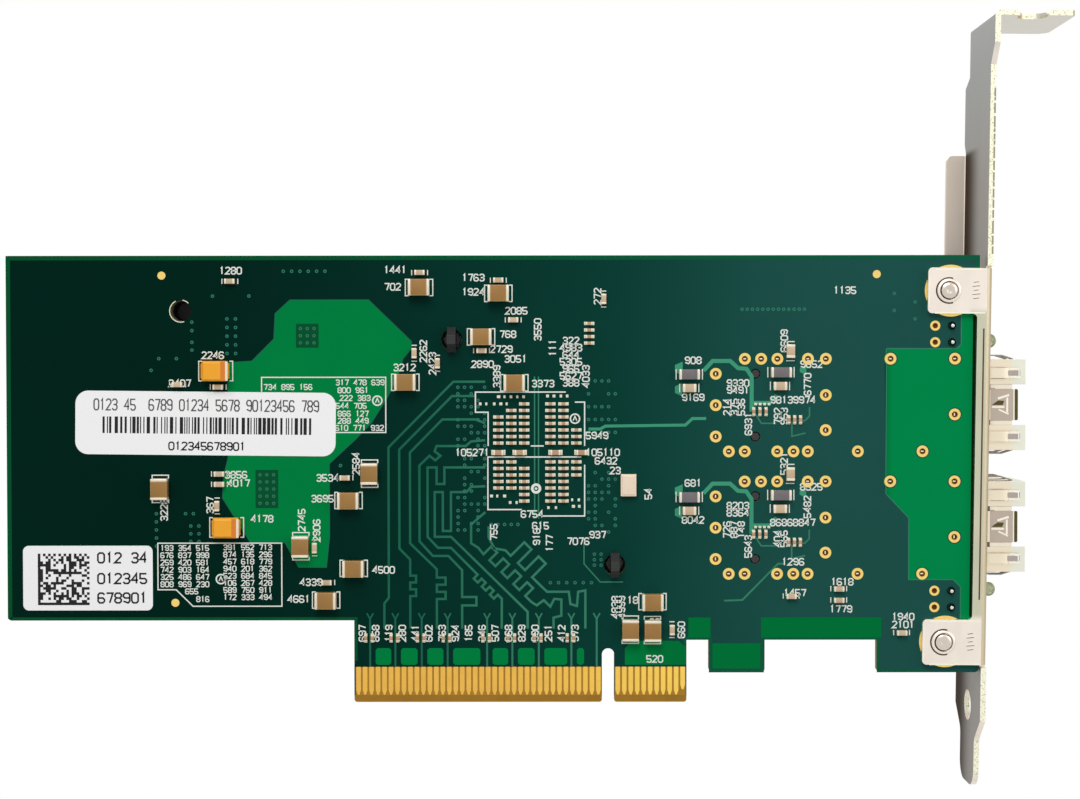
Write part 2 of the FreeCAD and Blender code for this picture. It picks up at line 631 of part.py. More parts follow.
def nose_cuts(port):
    """Slits beside the latch spring, its catch hole, and the finger slots of the floor."""
    y0 = CAGE_FLOOR - 1
    y1 = CAGE_FLOOR + CAGE_WALL
    cuts = []
    for side in (-1, 1):
        inner = port + side * LATCH_HALF
        outer = port + side * STRIP_INNER
        cuts.append(block(CAGE_FRONT - LATCH_LENGTH, CAGE_FRONT + 1, y0, y1,
                          min(inner, outer), max(inner, outer)))
        slot = centred(CAGE_FRONT - 1.75, port + side * SLOT_CENTRE, 1.7, SLOT_WIDTH, y0, y1)
        cuts.append(slot)
    setback = block(CAGE_FRONT - LATCH_SETBACK, CAGE_FRONT + 1, y0, y1,
                    port - STRIP_INNER, port + STRIP_INNER)
    catch = [(CAGE_FRONT - LATCH_APEX, port, 0), (CAGE_FRONT - LATCH_BASE, port + LATCH_HOLE_HALF, 0),
             (CAGE_FRONT - LATCH_BASE, port - LATCH_HOLE_HALF, 0)]
    return cuts + [setback, sheet_part(catch, upright(y0), V(0, 1 + CAGE_WALL, 0))]


def cage(port):
    """One port cage with its press-fit pins."""
    end = SOLDER_FACE + PIN_DROP
    row = (CAGE_WIDTH - CAGE_WALL) / 2
    pins = []
    for x, z in side_pin_points(port):
        on_side = abs(abs(z - port) - row) < 1e-6
        length, height = (PIN_WIDTH, CAGE_WALL) if on_side else (CAGE_WALL, PIN_WIDTH)
        pins.append(centred(x, z, length, height, end, CAGE_FLOOR + CAGE_WALL / 2))
    return join(cage_shell(port).cut(nose_cuts(port)), *pins)


def bent_finger():
    """One finger: a thin strip bent twice, flat on the X axis at its ends and bowed towards +Y."""
    near, far = FINGER_LENGTH * 0.3, FINGER_LENGTH * 0.62
    t = FINGER_THICKNESS
    corners = [(0, 0, 0), (-near, FINGER_BOW - t, 0), (-far, FINGER_BOW - t, 0), (-FINGER_LENGTH, 0, 0),
               (-FINGER_LENGTH, t, 0), (-far, FINGER_BOW, 0), (-near, FINGER_BOW, 0), (0, t, 0)]
    return sheet_part(corners, level(-FINGER_WIDTH / 2), V(0, 0, FINGER_WIDTH))


def cage_springs(port):
    """Grounding fingers round the nose: they bow out to meet the bracket's window."""
    root = CAGE_FRONT - FINGER_FRONT
    middle = (CAGE_FLOOR + CAGE_TOP) / 2
    half_width = NOSE_WIDTH / 2
    seats = [(CAGE_TOP, port + n * FINGER_PITCH, 0) for n in (-1, 0, 1)]
    seats += [(CAGE_FLOOR, port + side * SLOT_CENTRE, 180) for side in (-1, 1)]
    seats += [(middle + side * FINGER_PITCH / 2, port + half_width, 90) for side in (-1, 1)]
    seats += [(middle + side * FINGER_PITCH / 2, port - half_width, -90) for side in (-1, 1)]
    fingers = []
    for y, z, turn in seats:
        finger = bent_finger()
        finger.rotate(V(0, 0, 0), V(1, 0, 0), turn)
        finger.translate(V(root, y, z))
        fingers.append(finger)
    return fingers


def port_connector(port):
    """Moulded connector body with its card slot and two locating pegs."""
    x0 = CAGE_REAR + CONNECTOR_REAR
    x1 = x0 + CONNECTOR_LENGTH
    half = CONNECTOR_WIDTH / 2
    base = COMPONENT_FACE
    body = block(x0, x1, base, base + CONNECTOR_HEIGHT, port - half, port + half)
    slot = block(x1 - CARD_SLOT_DEPTH, x1 + 1, base + CARD_SLOT_CENTRE - CARD_SLOT_HEIGHT / 2,
                 base + CARD_SLOT_CENTRE + CARD_SLOT_HEIGHT / 2,
                 port - CARD_SLOT_WIDTH / 2, port + CARD_SLOT_WIDTH / 2)
    lead_room = block(x0 - 1, x0 + LEAD_FOOT / 2, base - 1, base + CONNECTOR_HEIGHT / 2,
                      port - half + 1, port + half - 1)
    pegs = [prism_y(x, z, PEG_RADIUS, 6, SOLDER_FACE + PIN_DROP, base) for x, z in peg_points(port)]
    return join(body.cut([slot, lead_room]), *pegs)


def connector_leads(port):
    """Row of soldered leads behind the connector body."""
    x0 = CAGE_REAR + CONNECTOR_REAR
    leads = []
    for n in range(LEAD_COUNT):
        z = port + (n - (LEAD_COUNT - 1) / 2) * LEAD_PITCH
        leads.append(block(x0, x0 + LEAD_FOOT / 2, COMPONENT_FACE, COMPONENT_FACE + CONNECTOR_HEIGHT / 2,
                           z - LEAD_WIDTH / 2, z + LEAD_WIDTH / 2))
    return leads


# ---- port lamps ----
def lamp_front():
    """X of the front of a lamp body, clear of the leaning bracket."""
    return FRONT_REACH - LAMP_GAP


def lamp_holder(lamp):
    """Black body that holds one lamp at right angles behind its bracket hole."""
    x1 = lamp_front()
    base = COMPONENT_FACE
    top = base + LAMP_HEIGHT
    slope = LAMP_BODY_LENGTH / 4
    corners = [(x1 - LAMP_BODY_LENGTH, base, 0), (x1, base, 0), (x1, top, 0),
               (x1 - LAMP_BODY_LENGTH + slope, top, 0), (x1 - LAMP_BODY_LENGTH, top - slope, 0)]
    body = sheet_part(corners, level(lamp - LAMP_BODY / 2), V(0, 0, LAMP_BODY))
    room = [centred(x, z, LAMP_LEAD_WIDTH, LAMP_LEAD_WIDTH, base - 1, base + 1)
            for x, z in lamp_lead_points(lamp, LAMP_LEAD_INSET)]
    return body.cut(room)


def lamp_lens(z):
    """Round lens on the front of its holder, standing out of the bracket."""
    y = COMPONENT_FACE + LAMP_AXIS_HEIGHT
    tip = BRACKET_FACE + SHEET + LENS_PROUD
    return rod_x(y, z, LENS_RADIUS, lamp_front(), tip)


def lamp_leads():
    """Square leads of both lamps, down through the board."""
    leads = []
    for lamp, _ in LAMPS.values():
        for x, z in lamp_lead_points(lamp, LAMP_LEAD_INSET):
            leads.append(centred(x, z, LAMP_LEAD_WIDTH, LAMP_LEAD_WIDTH, SOLDER_FACE, COMPONENT_FACE + 1))
    return leads


def lamp_solder():
    """Solder beads over the lamp leads, on the solder side."""
    return [prism_y(x, z, SOLDER_RADIUS, 6, SOLDER_FACE - SOLDER_HEIGHT, SOLDER_FACE)
            for lamp, _ in LAMPS.values() for x, z in lamp_lead_points(lamp, LAMP_LEAD_INSET)]


# ---- controller, heat sink and its push pins ----
def controller_package():
    """Square chip package on its solder balls' standoff."""
    y = COMPONENT_FACE + CHIP_STANDOFF
    return centred(CHIP_X, CHIP_Z, CHIP_SIZE, CHIP_SIZE, y, y + SUBSTRATE_THICKNESS)


def solder_ball_field():
    """Four rows of solder balls under the package, drawn as one bar a side."""
    y0 = COMPONENT_FACE
    half = CHIP_SIZE / 2 - 1
    return [block(CHIP_X - half, CHIP_X + half, y0, y0 + CHIP_STANDOFF,
                  CHIP_Z + s * half - 0.5, CHIP_Z + s * half + 0.5)
            for s in (-1, 1)]


def controller_lid():
    """Raised moulded lid of the package."""
    y = COMPONENT_FACE + CHIP_STANDOFF + SUBSTRATE_THICKNESS
    lid = centred(CHIP_X, CHIP_Z, LID_SIZE, LID_SIZE, y, y + LID_THICKNESS)
    rim = [edge for edge in lid.Edges if edge.BoundBox.YMin > y + LID_THICKNESS / 2]
    return lid.makeChamfer(LID_THICKNESS * 0.4, rim)


def thermal_pad():
    """Soft pad between the lid and the heat sink."""
    size = LID_SIZE - LID_THICKNESS
    return centred(CHIP_X, CHIP_Z, size, size, SINK_FACE - THERMAL_PAD_THICKNESS, SINK_FACE)


def heat_sink():
    """Finned block with two bare corners for the push pins."""
    y0 = SINK_FACE
    y1 = y0 + SINK_HEIGHT
    x0 = CHIP_X - SINK_LENGTH / 2
    x1 = CHIP_X + SINK_LENGTH / 2
    z0 = CHIP_Z - SINK_WIDTH / 2
    pitch = (SINK_WIDTH - FIN_THICKNESS) / (FIN_COUNT - 1)
    body = block(x0, x1, y0, y1, z0, z0 + SINK_WIDTH)
    gaps = [block(x0 - 1, x1 + 1, y0 + SINK_BASE, y1 + 1,
                  z0 + FIN_THICKNESS + n * pitch, z0 + (n + 1) * pitch)
            for n in range(FIN_COUNT - 1)]
    ledges = []
    for x, z in push_pin_points().values():
        ledges.append(centred(x, z, SINK_LEDGE, SINK_LEDGE, y0 + SINK_BASE, y1 + 1))
        ledges.append(prism_y(x, z, PUSH_PIN_HOLE, 8, y0 - 1, y0 + SINK_BASE + 1))
    return body.cut(gaps + ledges)


def push_pin(x, z):
    """Plastic push pin: head, stem, flat blade through the board and a split barbed end."""
    head_y = SINK_FACE + SINK_BASE + PUSH_HEAD_LIFT
    head = prism_y(x, z, PUSH_HEAD_RADIUS, 12, head_y, head_y + PUSH_HEAD_HEIGHT)
    stem = prism_y(x, z, PUSH_PIN_RADIUS, 6, COMPONENT_FACE + 0.3, head_y)
    root = SOLDER_FACE - 0.1
    blade = centred(x, z, BLADE_WIDTH, BLADE_HEIGHT, root, COMPONENT_FACE + 0.5)
    tip = root - BARB_LENGTH
    shoulder = root - BARB_LENGTH / 3
    barb = sheet_part([(root, z + BARB_HALF, 0), (shoulder, z + BARB_HALF, 0), (tip, z + BARB_HALF / 3, 0),
                       (tip, z - BARB_HALF / 3, 0), (shoulder, z - BARB_HALF, 0), (root, z - BARB_HALF, 0)],
                      facing_x(x - BLADE_WIDTH / 2), V(BLADE_WIDTH, 0, 0))
    slit = centred(x, z, 3 * BLADE_WIDTH, BARB_SLIT, tip + BARB_LENGTH / 3, COMPONENT_FACE + 0.2)
    return join(head, stem, blade, barb).cut(slit)


def push_spring(x, z):
    """Coil spring of square wire that presses the heat sink down."""
    base = SINK_FACE + SINK_BASE
    rise = (PUSH_HEAD_LIFT - SPRING_WIRE) / (SPRING_TURNS * SPRING_STEPS)
    half = SPRING_WIRE / 2
    rings = []
    for step in range(SPRING_TURNS * SPRING_STEPS + 1):
        angle = 2 * math.pi * step / SPRING_STEPS
        y = base + half + step * rise
        ring = [V(x + r * math.cos(angle), y + dy, z + r * math.sin(angle))
                for r, dy in ((SPRING_RADIUS - half, -half), (SPRING_RADIUS + half, -half),
                              (SPRING_RADIUS + half, half), (SPRING_RADIUS - half, half))]
        rings.append(ring)
    faces = [Part.Face(Part.makePolygon(ring + ring[:1])) for ring in (rings[0], rings[-1])]
    for ring, following in zip(rings, rings[1:]):
        for k in range(4):
            a, b = ring[k], ring[(k + 1) % 4]
            c, d = following[(k + 1) % 4], following[k]
            faces += [Part.Face(Part.makePolygon([a, b, c, a])), Part.Face(Part.makePolygon([a, c, d, a]))]
    coil = Part.Solid(Part.makeShell(faces))
    if coil.Volume < 0:
        coil.reverse()
    return coil


# ---- other parts on the component side ----
def power_inductor(x, z):
    """Moulded choke with a chamfered rim."""
    size, height = INDUCTOR_SIZE
    y = COMPONENT_FACE
    body = centred(x, z, size, size, y, y + height)
    rim = [edge for edge in body.Edges if edge.BoundBox.YMin > y + height / 2]
    return body.makeChamfer(height * 0.12, rim)


def power_chip(x, z):
    """Leadless power chip, flat on the board."""
    size, height = REGULATOR_SIZE
    return centred(x, z, size, size, COMPONENT_FACE, COMPONENT_FACE + height)


def memory_chip():
    """Memory chip on two rows of leads."""
    length, width, height = MEMORY_SIZE
    x, z = along(MEMORY_SPOT[0]), up(MEMORY_SPOT[1])
    y = COMPONENT_FACE
    body = centred(x, z, length, width, y + MEMORY_LEAD_THICKNESS / 2, y + height)
    leads = []
    for n in range(MEMORY_LEADS):
        at = x + (n - (MEMORY_LEADS - 1) / 2) * MEMORY_LEAD_PITCH
        leads.append(centred(at, z, MEMORY_LEAD_PITCH / 3, width + 2 * MEMORY_LEAD_REACH,
                             y, y + MEMORY_LEAD_THICKNESS))
    return join(body, *leads)


# ---- parts on the solder side ----
def chip_part(x, z, size, upright_part=False):
    """Chip capacitor or bead: a stepped profile, its two end terminals higher than its middle."""
    length, width, height = size
    half = length / 2
    step = half - length * TERMINAL_SHARE
    top = SOLDER_FACE - height
    waist = top + TERMINAL_PROUD
    profile = [(-half, SOLDER_FACE, 0), (half, SOLDER_FACE, 0), (half, top, 0), (step, top, 0),
               (step, waist, 0), (-step, waist, 0), (-step, top, 0), (-half, top, 0)]
    part = sheet_part(profile, level(-width / 2), V(0, 0, width))
    if upright_part:
        part.rotate(V(0, 0, 0), V(0, 1, 0), 90)
    part.translate(V(x, 0, z))
    return part


def plain_chip(x, z, size, upright_part=False):
    """Small chip part as one plain body."""
    length, width, height = size
    if upright_part:
        length, width = width, length
    return centred(x, z, length, width, SOLDER_FACE - height, SOLDER_FACE)


BULK_FLAT = ((-0.3136, 0.9287), (-0.182, 0.9155), (-0.2108, 0.8184), (-0.3367, 0.7173), (-0.1556, 0.716),
             (-0.4317, 0.4531), (-0.4234, 0.301), (-0.4695, 0.2299), (0.1199, 0.2258))
BULK_UPRIGHT = ((-0.7447, 0.4794), (-0.3965, 0.5132), (-0.5113, 0.3507), (0.06, 0.1631), (0.1199, 0.162))
SMALL_FLAT = ((-0.6276, 0.9428), (-0.7153, 0.7126), (-0.6476, 0.7071), (-0.6463, 0.5128), (-0.6463, 0.4898),
              (-0.4375, 0.5039), (-0.4683, 0.2695), (-0.3126, 0.9618), (-0.182, 0.9447), (-0.1573, 0.8563),
              (-0.21, 0.7878), (0.6222, 0.2293), (0.6222, 0.2546), (0.494, 0.2383), (0.792, 0.156))
SMALL_UPRIGHT = ((-0.6502, 0.4412), (-0.4883, 0.347), (-0.3218, 0.7821), (-0.2833, 0.7596), (-0.0072, 0.9026),
                 (0.1725, 0.163))
TANTALUM_SPOTS = {"upper": (-0.6517, 0.7428), "lower": (-0.6346, 0.393)}
CRYSTAL_SPOT = (0.0549, 0.4872)
COUPLING_PAIRS = (-0.3981, -0.3559, -0.312, -0.2689, -0.2031, -0.161, -0.117, -0.0627)
COUPLING_SPACING = 1.0
COUPLING_HEIGHT = 0.1448
TERMINATION_SPOT = (-0.0312, 0.8043)  # column of four beside the chip
PORT_BEADS = ((-3.95, 4.75), (10.15, 5.05))  # from the cage's rear wall and the port's middle
PORT_MEDIUM = ((-3.95, 2.65), (10.0, 2.95))
PORT_MEDIUM_UPRIGHT = ((11.6, 8.3),)
PORT_RESISTORS = ((5.95, -1.0), (6.9, -1.0), (7.85, -1.0), (11.35, -2.25), (12.25, -2.25), (13.15, -2.25))


def bulk_capacitors():
    """Large ceramic capacitors."""
    flat = [chip_part(along(u), up(v), BULK_SIZE) for u, v in BULK_FLAT]
    return flat + [chip_part(along(u), up(v), BULK_SIZE, True) for u, v in BULK_UPRIGHT]


def small_capacitors():
    """Small ceramic capacitors and resistors away from the ports."""
    flat = [plain_chip(along(u), up(v), SMALL_SIZE) for u, v in SMALL_FLAT]
    return flat + [plain_chip(along(u), up(v), SMALL_SIZE, True) for u, v in SMALL_UPRIGHT]


def port_filter_parts():
    """Medium capacitors of the two ports' supply filters."""
    parts = []
    for port in PORTS.values():
        parts += [plain_chip(CAGE_REAR + x, port + z, MEDIUM_SIZE) for x, z in PORT_MEDIUM]
        parts += [plain_chip(CAGE_REAR + x, port + z, MEDIUM_SIZE, True) for x, z in PORT_MEDIUM_UPRIGHT]
    return parts


def ferrite_beads():
    """Dark beads of the two ports' supply filters."""
    return [chip_part(CAGE_REAR + x, port + z, BEAD_SIZE) for port in PORTS.values() for x, z in PORT_BEADS]


def termination_resistors():
    """Tiny resistors beside the chip and under the port connectors."""
    u, v = TERMINATION_SPOT
    parts = [plain_chip(along(u), up(v) + n * DECOUPLING_PITCH, TINY_SIZE) for n in range(4)]
    for port in PORTS.values():
        parts += [plain_chip(CAGE_REAR + x, port + z, TINY_SIZE, True) for x, z in PORT_RESISTORS]
    return parts


def decoupling_capacitors():
    """Grid of tiny capacitors behind the controller's solder balls."""
    parts = []
    for x, above, below, skipped in DECOUPLING_GRID:
        steps = [DECOUPLING_GAP + n * DECOUPLING_PITCH for n in range(round(above))]
        rows_below = range(round(skipped), round(skipped + below))
        steps += [-DECOUPLING_GAP - n * DECOUPLING_PITCH for n in rows_below]
        parts += [plain_chip(CHIP_X + x, CHIP_Z + step, TINY_SIZE) for step in steps]
    parts += [plain_chip(CHIP_X + x, CHIP_Z, MIDDLE_SIZE) for x in MIDDLE_ROW]
    return parts


def coupling_capacitors():
    """Pairs of tiny capacitors in the lanes above the edge contacts."""
    parts = []
    for u in COUPLING_PAIRS:
        for side in (-1, 1):
            place = along(u) + side * COUPLING_SPACING / 2
            parts.append(plain_chip(place, up(COUPLING_HEIGHT), TINY_SIZE, True))
    return parts


def tantalum(u, v):
    """Moulded capacitor: bevelled body on two folded metal ends."""
    length, width, height = TANTALUM_SIZE
    x = along(u)
    z = up(v)
    top = SOLDER_FACE - height
    body = centred(x, z, length - 0.5, width, top, SOLDER_FACE - 0.15)
    rim = [edge for edge in body.Edges if edge.BoundBox.YMax < top + height / 4]
    body = body.makeChamfer(height * 0.15, rim)
    feet = [block(x + s * length / 2 - 0.3 - 0.3 * s, x + s * length / 2 + 0.3 - 0.3 * s,
                  SOLDER_FACE - height * 0.6, SOLDER_FACE, z - width * 0.38, z + width * 0.38)
            for s in (-1, 1)]
    return join(body, *feet)


def crystal():
    """Ceramic clock oscillator with a metal lid."""
    u, v = CRYSTAL_SPOT
    length, width, height = CRYSTAL_SIZE
    base = centred(along(u), up(v), length, width, SOLDER_FACE - height, SOLDER_FACE)
    lid = centred(along(u), up(v), length - 0.5, width - 0.5,
                  SOLDER_FACE - height - 0.12, SOLDER_FACE - height)
    return join(base, lid)


# ---- labels ----
def label(x, z, size, tilt):
    """Rounded sticker on the solder side."""
    length, height, radius = size
    corners = []
    for quarter, (s, t) in enumerate(((1, 1), (-1, 1), (-1, -1), (1, -1))):
        for n in range(3):
            turn = math.pi / 2 * (quarter + n / 2)
            corners.append((s * (length / 2 - radius) + radius * math.cos(turn),
                            t * (height / 2 - radius) + radius * math.sin(turn), 0))
    sticker = sheet_part(corners, upright(SOLDER_FACE - LABEL_THICKNESS), V(0, LABEL_THICKNESS, 0))
    sticker.rotate(V(0, 0, 0), V(0, 1, 0), tilt)
    sticker.translate(V(x, 0, z))
    return sticker


def write(node, pieces):
    """Writes one node as a STEP file."""
    if not isinstance(pieces, list):
        pieces = [pieces]
    shape = pieces[0] if len(pieces) == 1 else Part.makeCompound(pieces)
    shape.exportStep(f"parts/{node}.step")


def write_card():
    """Board, contacts, bracket and their fixings."""
    write("circuit_board", circuit_board())
    write("edge_contacts_solder_side", edge_contacts(-1))
    write("edge_contacts_component_side", edge_contacts(1))
    write("rear_spacer", rear_spacer())
    write("bracket", bracket())
    for name, (x, z) in screw_points().items():
        write(f"bracket_screw_{name}", bracket_screw(x, z))


def write_ports():
    """Cages, springs, connectors and lamps."""
    for name, port in PORTS.items():
        write(f"port_cage_{name}", cage(port))
        write(f"cage_springs_{name}", cage_springs(port))
        write(f"port_connector_{name}", port_connector(port))
        write(f"connector_leads_{name}", connector_leads(port))
    for name, (lamp, shift) in LAMPS.items():
        write(f"lamp_holder_{name}", lamp_holder(lamp))
        write(f"lamp_lens_{name}", lamp_lens(lamp + shift))
    write("lamp_leads", lamp_leads())
    write("lamp_solder", lamp_solder())


def write_component_side():
    """Controller, heat sink and the other parts of the component side."""
    write("controller_package", controller_package())
    write("controller_lid", controller_lid())
    write("solder_balls", solder_ball_field())
    write("thermal_pad", thermal_pad())
    write("heat_sink", heat_sink())
    for name, (x, z) in push_pin_points().items():
        write(f"push_pin_{name}", push_pin(x, z))
        write(f"push_spring_{name}", push_spring(x, z))
    for name, (u, v) in INDUCTOR_SPOTS.items():
        write(f"power_inductor_{name}", power_inductor(along(u), up(v)))
    for name, (u, v) in REGULATOR_SPOTS.items():
        write(f"regulator_{name}", power_chip(along(u), up(v)))
    write("memory_chip", memory_chip())


def write_solder_side():
    """Small parts and labels of the solder side."""
    write("bulk_capacitors", bulk_capacitors())
    write("small_capacitors", small_capacitors())
    write("port_filter_capacitors", port_filter_parts())
    write("ferrite_beads", ferrite_beads())
    write("termination_resistors", termination_resistors())
    write("decoupling_capacitors", decoupling_capacitors())
    write("coupling_capacitors", coupling_capacitors())
    write("clock_crystal", crystal())
    for name, (u, v) in TANTALUM_SPOTS.items():
        write(f"tantalum_capacitor_{name}", tantalum(u, v))
    write("label_large", label(along(-0.669), up(0.6256), LARGE_LABEL, LARGE_LABEL_TILT))
    write("label_small", label(along(-0.866), up(0.2796), SMALL_LABEL, 0))


os.makedirs("parts", exist_ok=True)
write_card()
write_ports()
write_component_side()
write_solder_side()
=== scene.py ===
"""Looks of a two-port network interface card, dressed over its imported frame.

Sizes are in millimetres and become metres as a mesh is finished. The solder side faces -Y, the
bracket stands at +X, and the contact edge is the board's lowest edge.
"""

import logging
import math
import random
from collections.abc import Callable
from dataclasses import dataclass
from enum import Enum

import bmesh
import bpy
from mathutils import Matrix, Vector
from mathutils.geometry import tessellate_polygon

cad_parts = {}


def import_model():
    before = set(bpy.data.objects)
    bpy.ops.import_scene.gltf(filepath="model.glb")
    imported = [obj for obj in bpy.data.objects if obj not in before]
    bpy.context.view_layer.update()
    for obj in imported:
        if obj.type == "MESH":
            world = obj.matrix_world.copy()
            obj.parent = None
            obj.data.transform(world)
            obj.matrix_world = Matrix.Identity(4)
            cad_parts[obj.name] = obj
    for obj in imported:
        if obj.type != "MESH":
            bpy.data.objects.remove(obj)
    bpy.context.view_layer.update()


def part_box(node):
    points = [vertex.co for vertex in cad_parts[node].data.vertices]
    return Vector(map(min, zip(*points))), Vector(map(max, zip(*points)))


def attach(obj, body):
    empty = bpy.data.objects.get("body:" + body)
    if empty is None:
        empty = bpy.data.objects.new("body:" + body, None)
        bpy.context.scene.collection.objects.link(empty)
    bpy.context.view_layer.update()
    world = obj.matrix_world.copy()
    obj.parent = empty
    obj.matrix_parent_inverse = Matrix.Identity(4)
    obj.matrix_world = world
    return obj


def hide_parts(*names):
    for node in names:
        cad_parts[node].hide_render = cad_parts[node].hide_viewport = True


MM = 0.001
EMBED = 0.004  # how far flat artwork reaches into the face under it, in millimetres
FILM = 0.012  # how far flat marks stand off the face under them
STEP = 0.004  # how far an outline stands over the field that it borders
Point = tuple[float, float]
Colour = tuple[float, float, float]
log = logging.getLogger("network_card")


def tone(red: int, green: int, blue: int) -> Colour:
    """Turns an ordinary 0 to 255 colour into the linear one that shaders take.

    Args:
        red: Red share.
        green: Green share.
        blue: Blue share.

    Returns:
        The linear colour.
    """
    shares = [value / 255 for value in (red, green, blue)]
    return tuple(s / 12.92 if s <= 0.04045 else ((s + 0.055) / 1.055) ** 2.4 for s in shares)


class Side(Enum):
    """Face of the board that a piece lies on, as the direction it faces along Y."""

    SOLDER = -1
    COMPONENT = 1


class Wiring:
    """Adds and joins the nodes of one shader tree."""

    def __init__(self, tree: bpy.types.NodeTree) -> None:
        """Keeps the tree that the nodes go into."""
        self.tree = tree

    def add(self, kind: str, **settings: object) -> bpy.types.Node:
        """Adds one node.

        Args:
            kind: Node type without its ShaderNode prefix.
            settings: Node properties, and socket values whose names have underscores for spaces.

        Returns:
            The new node.
        """
        node = self.tree.nodes.new("ShaderNode" + kind)
        for key, value in settings.items():
            if hasattr(node, key):
                setattr(node, key, value)
            else:
                node.inputs[key.replace("_", " ")].default_value = value
        return node

    def join(self, source: bpy.types.NodeSocket, target: bpy.types.NodeSocket) -> None:
        """Links an output to an input."""
        self.tree.links.new(source, target)

    def sum(self, kind: str, *terms: object) -> bpy.types.NodeSocket:
        """Adds a Math node.

        Args:
            kind: Its operation.
            terms: Numbers or output sockets, in the order of its inputs.

        Returns:
            Its output.
        """
        node = self.add("Math", operation=kind)
        for place, term in zip(node.inputs, terms):
            if isinstance(term, bpy.types.NodeSocket):
                self.join(term, place)
            else:
                place.default_value = term
        return node.outputs[0]

    def blend(self, share: bpy.types.NodeSocket, first: object, second: object) -> bpy.types.NodeSocket:
        """Mixes two colours.

        Args:
            share: Mask of the second colour.
            first: Colour or output socket where the mask is 0.
            second: Colour or output socket where the mask is 1.

        Returns:
            The mixed colour.
        """
        node = self.add("Mix", data_type="RGBA")
        self.join(share, node.inputs["Factor"])
        for place, colour in ((node.inputs[6], first), (node.inputs[7], second)):
            if isinstance(colour, bpy.types.NodeSocket):
                self.join(colour, place)
            else:
                place.default_value = (*colour, 1)
        return node.outputs[2]


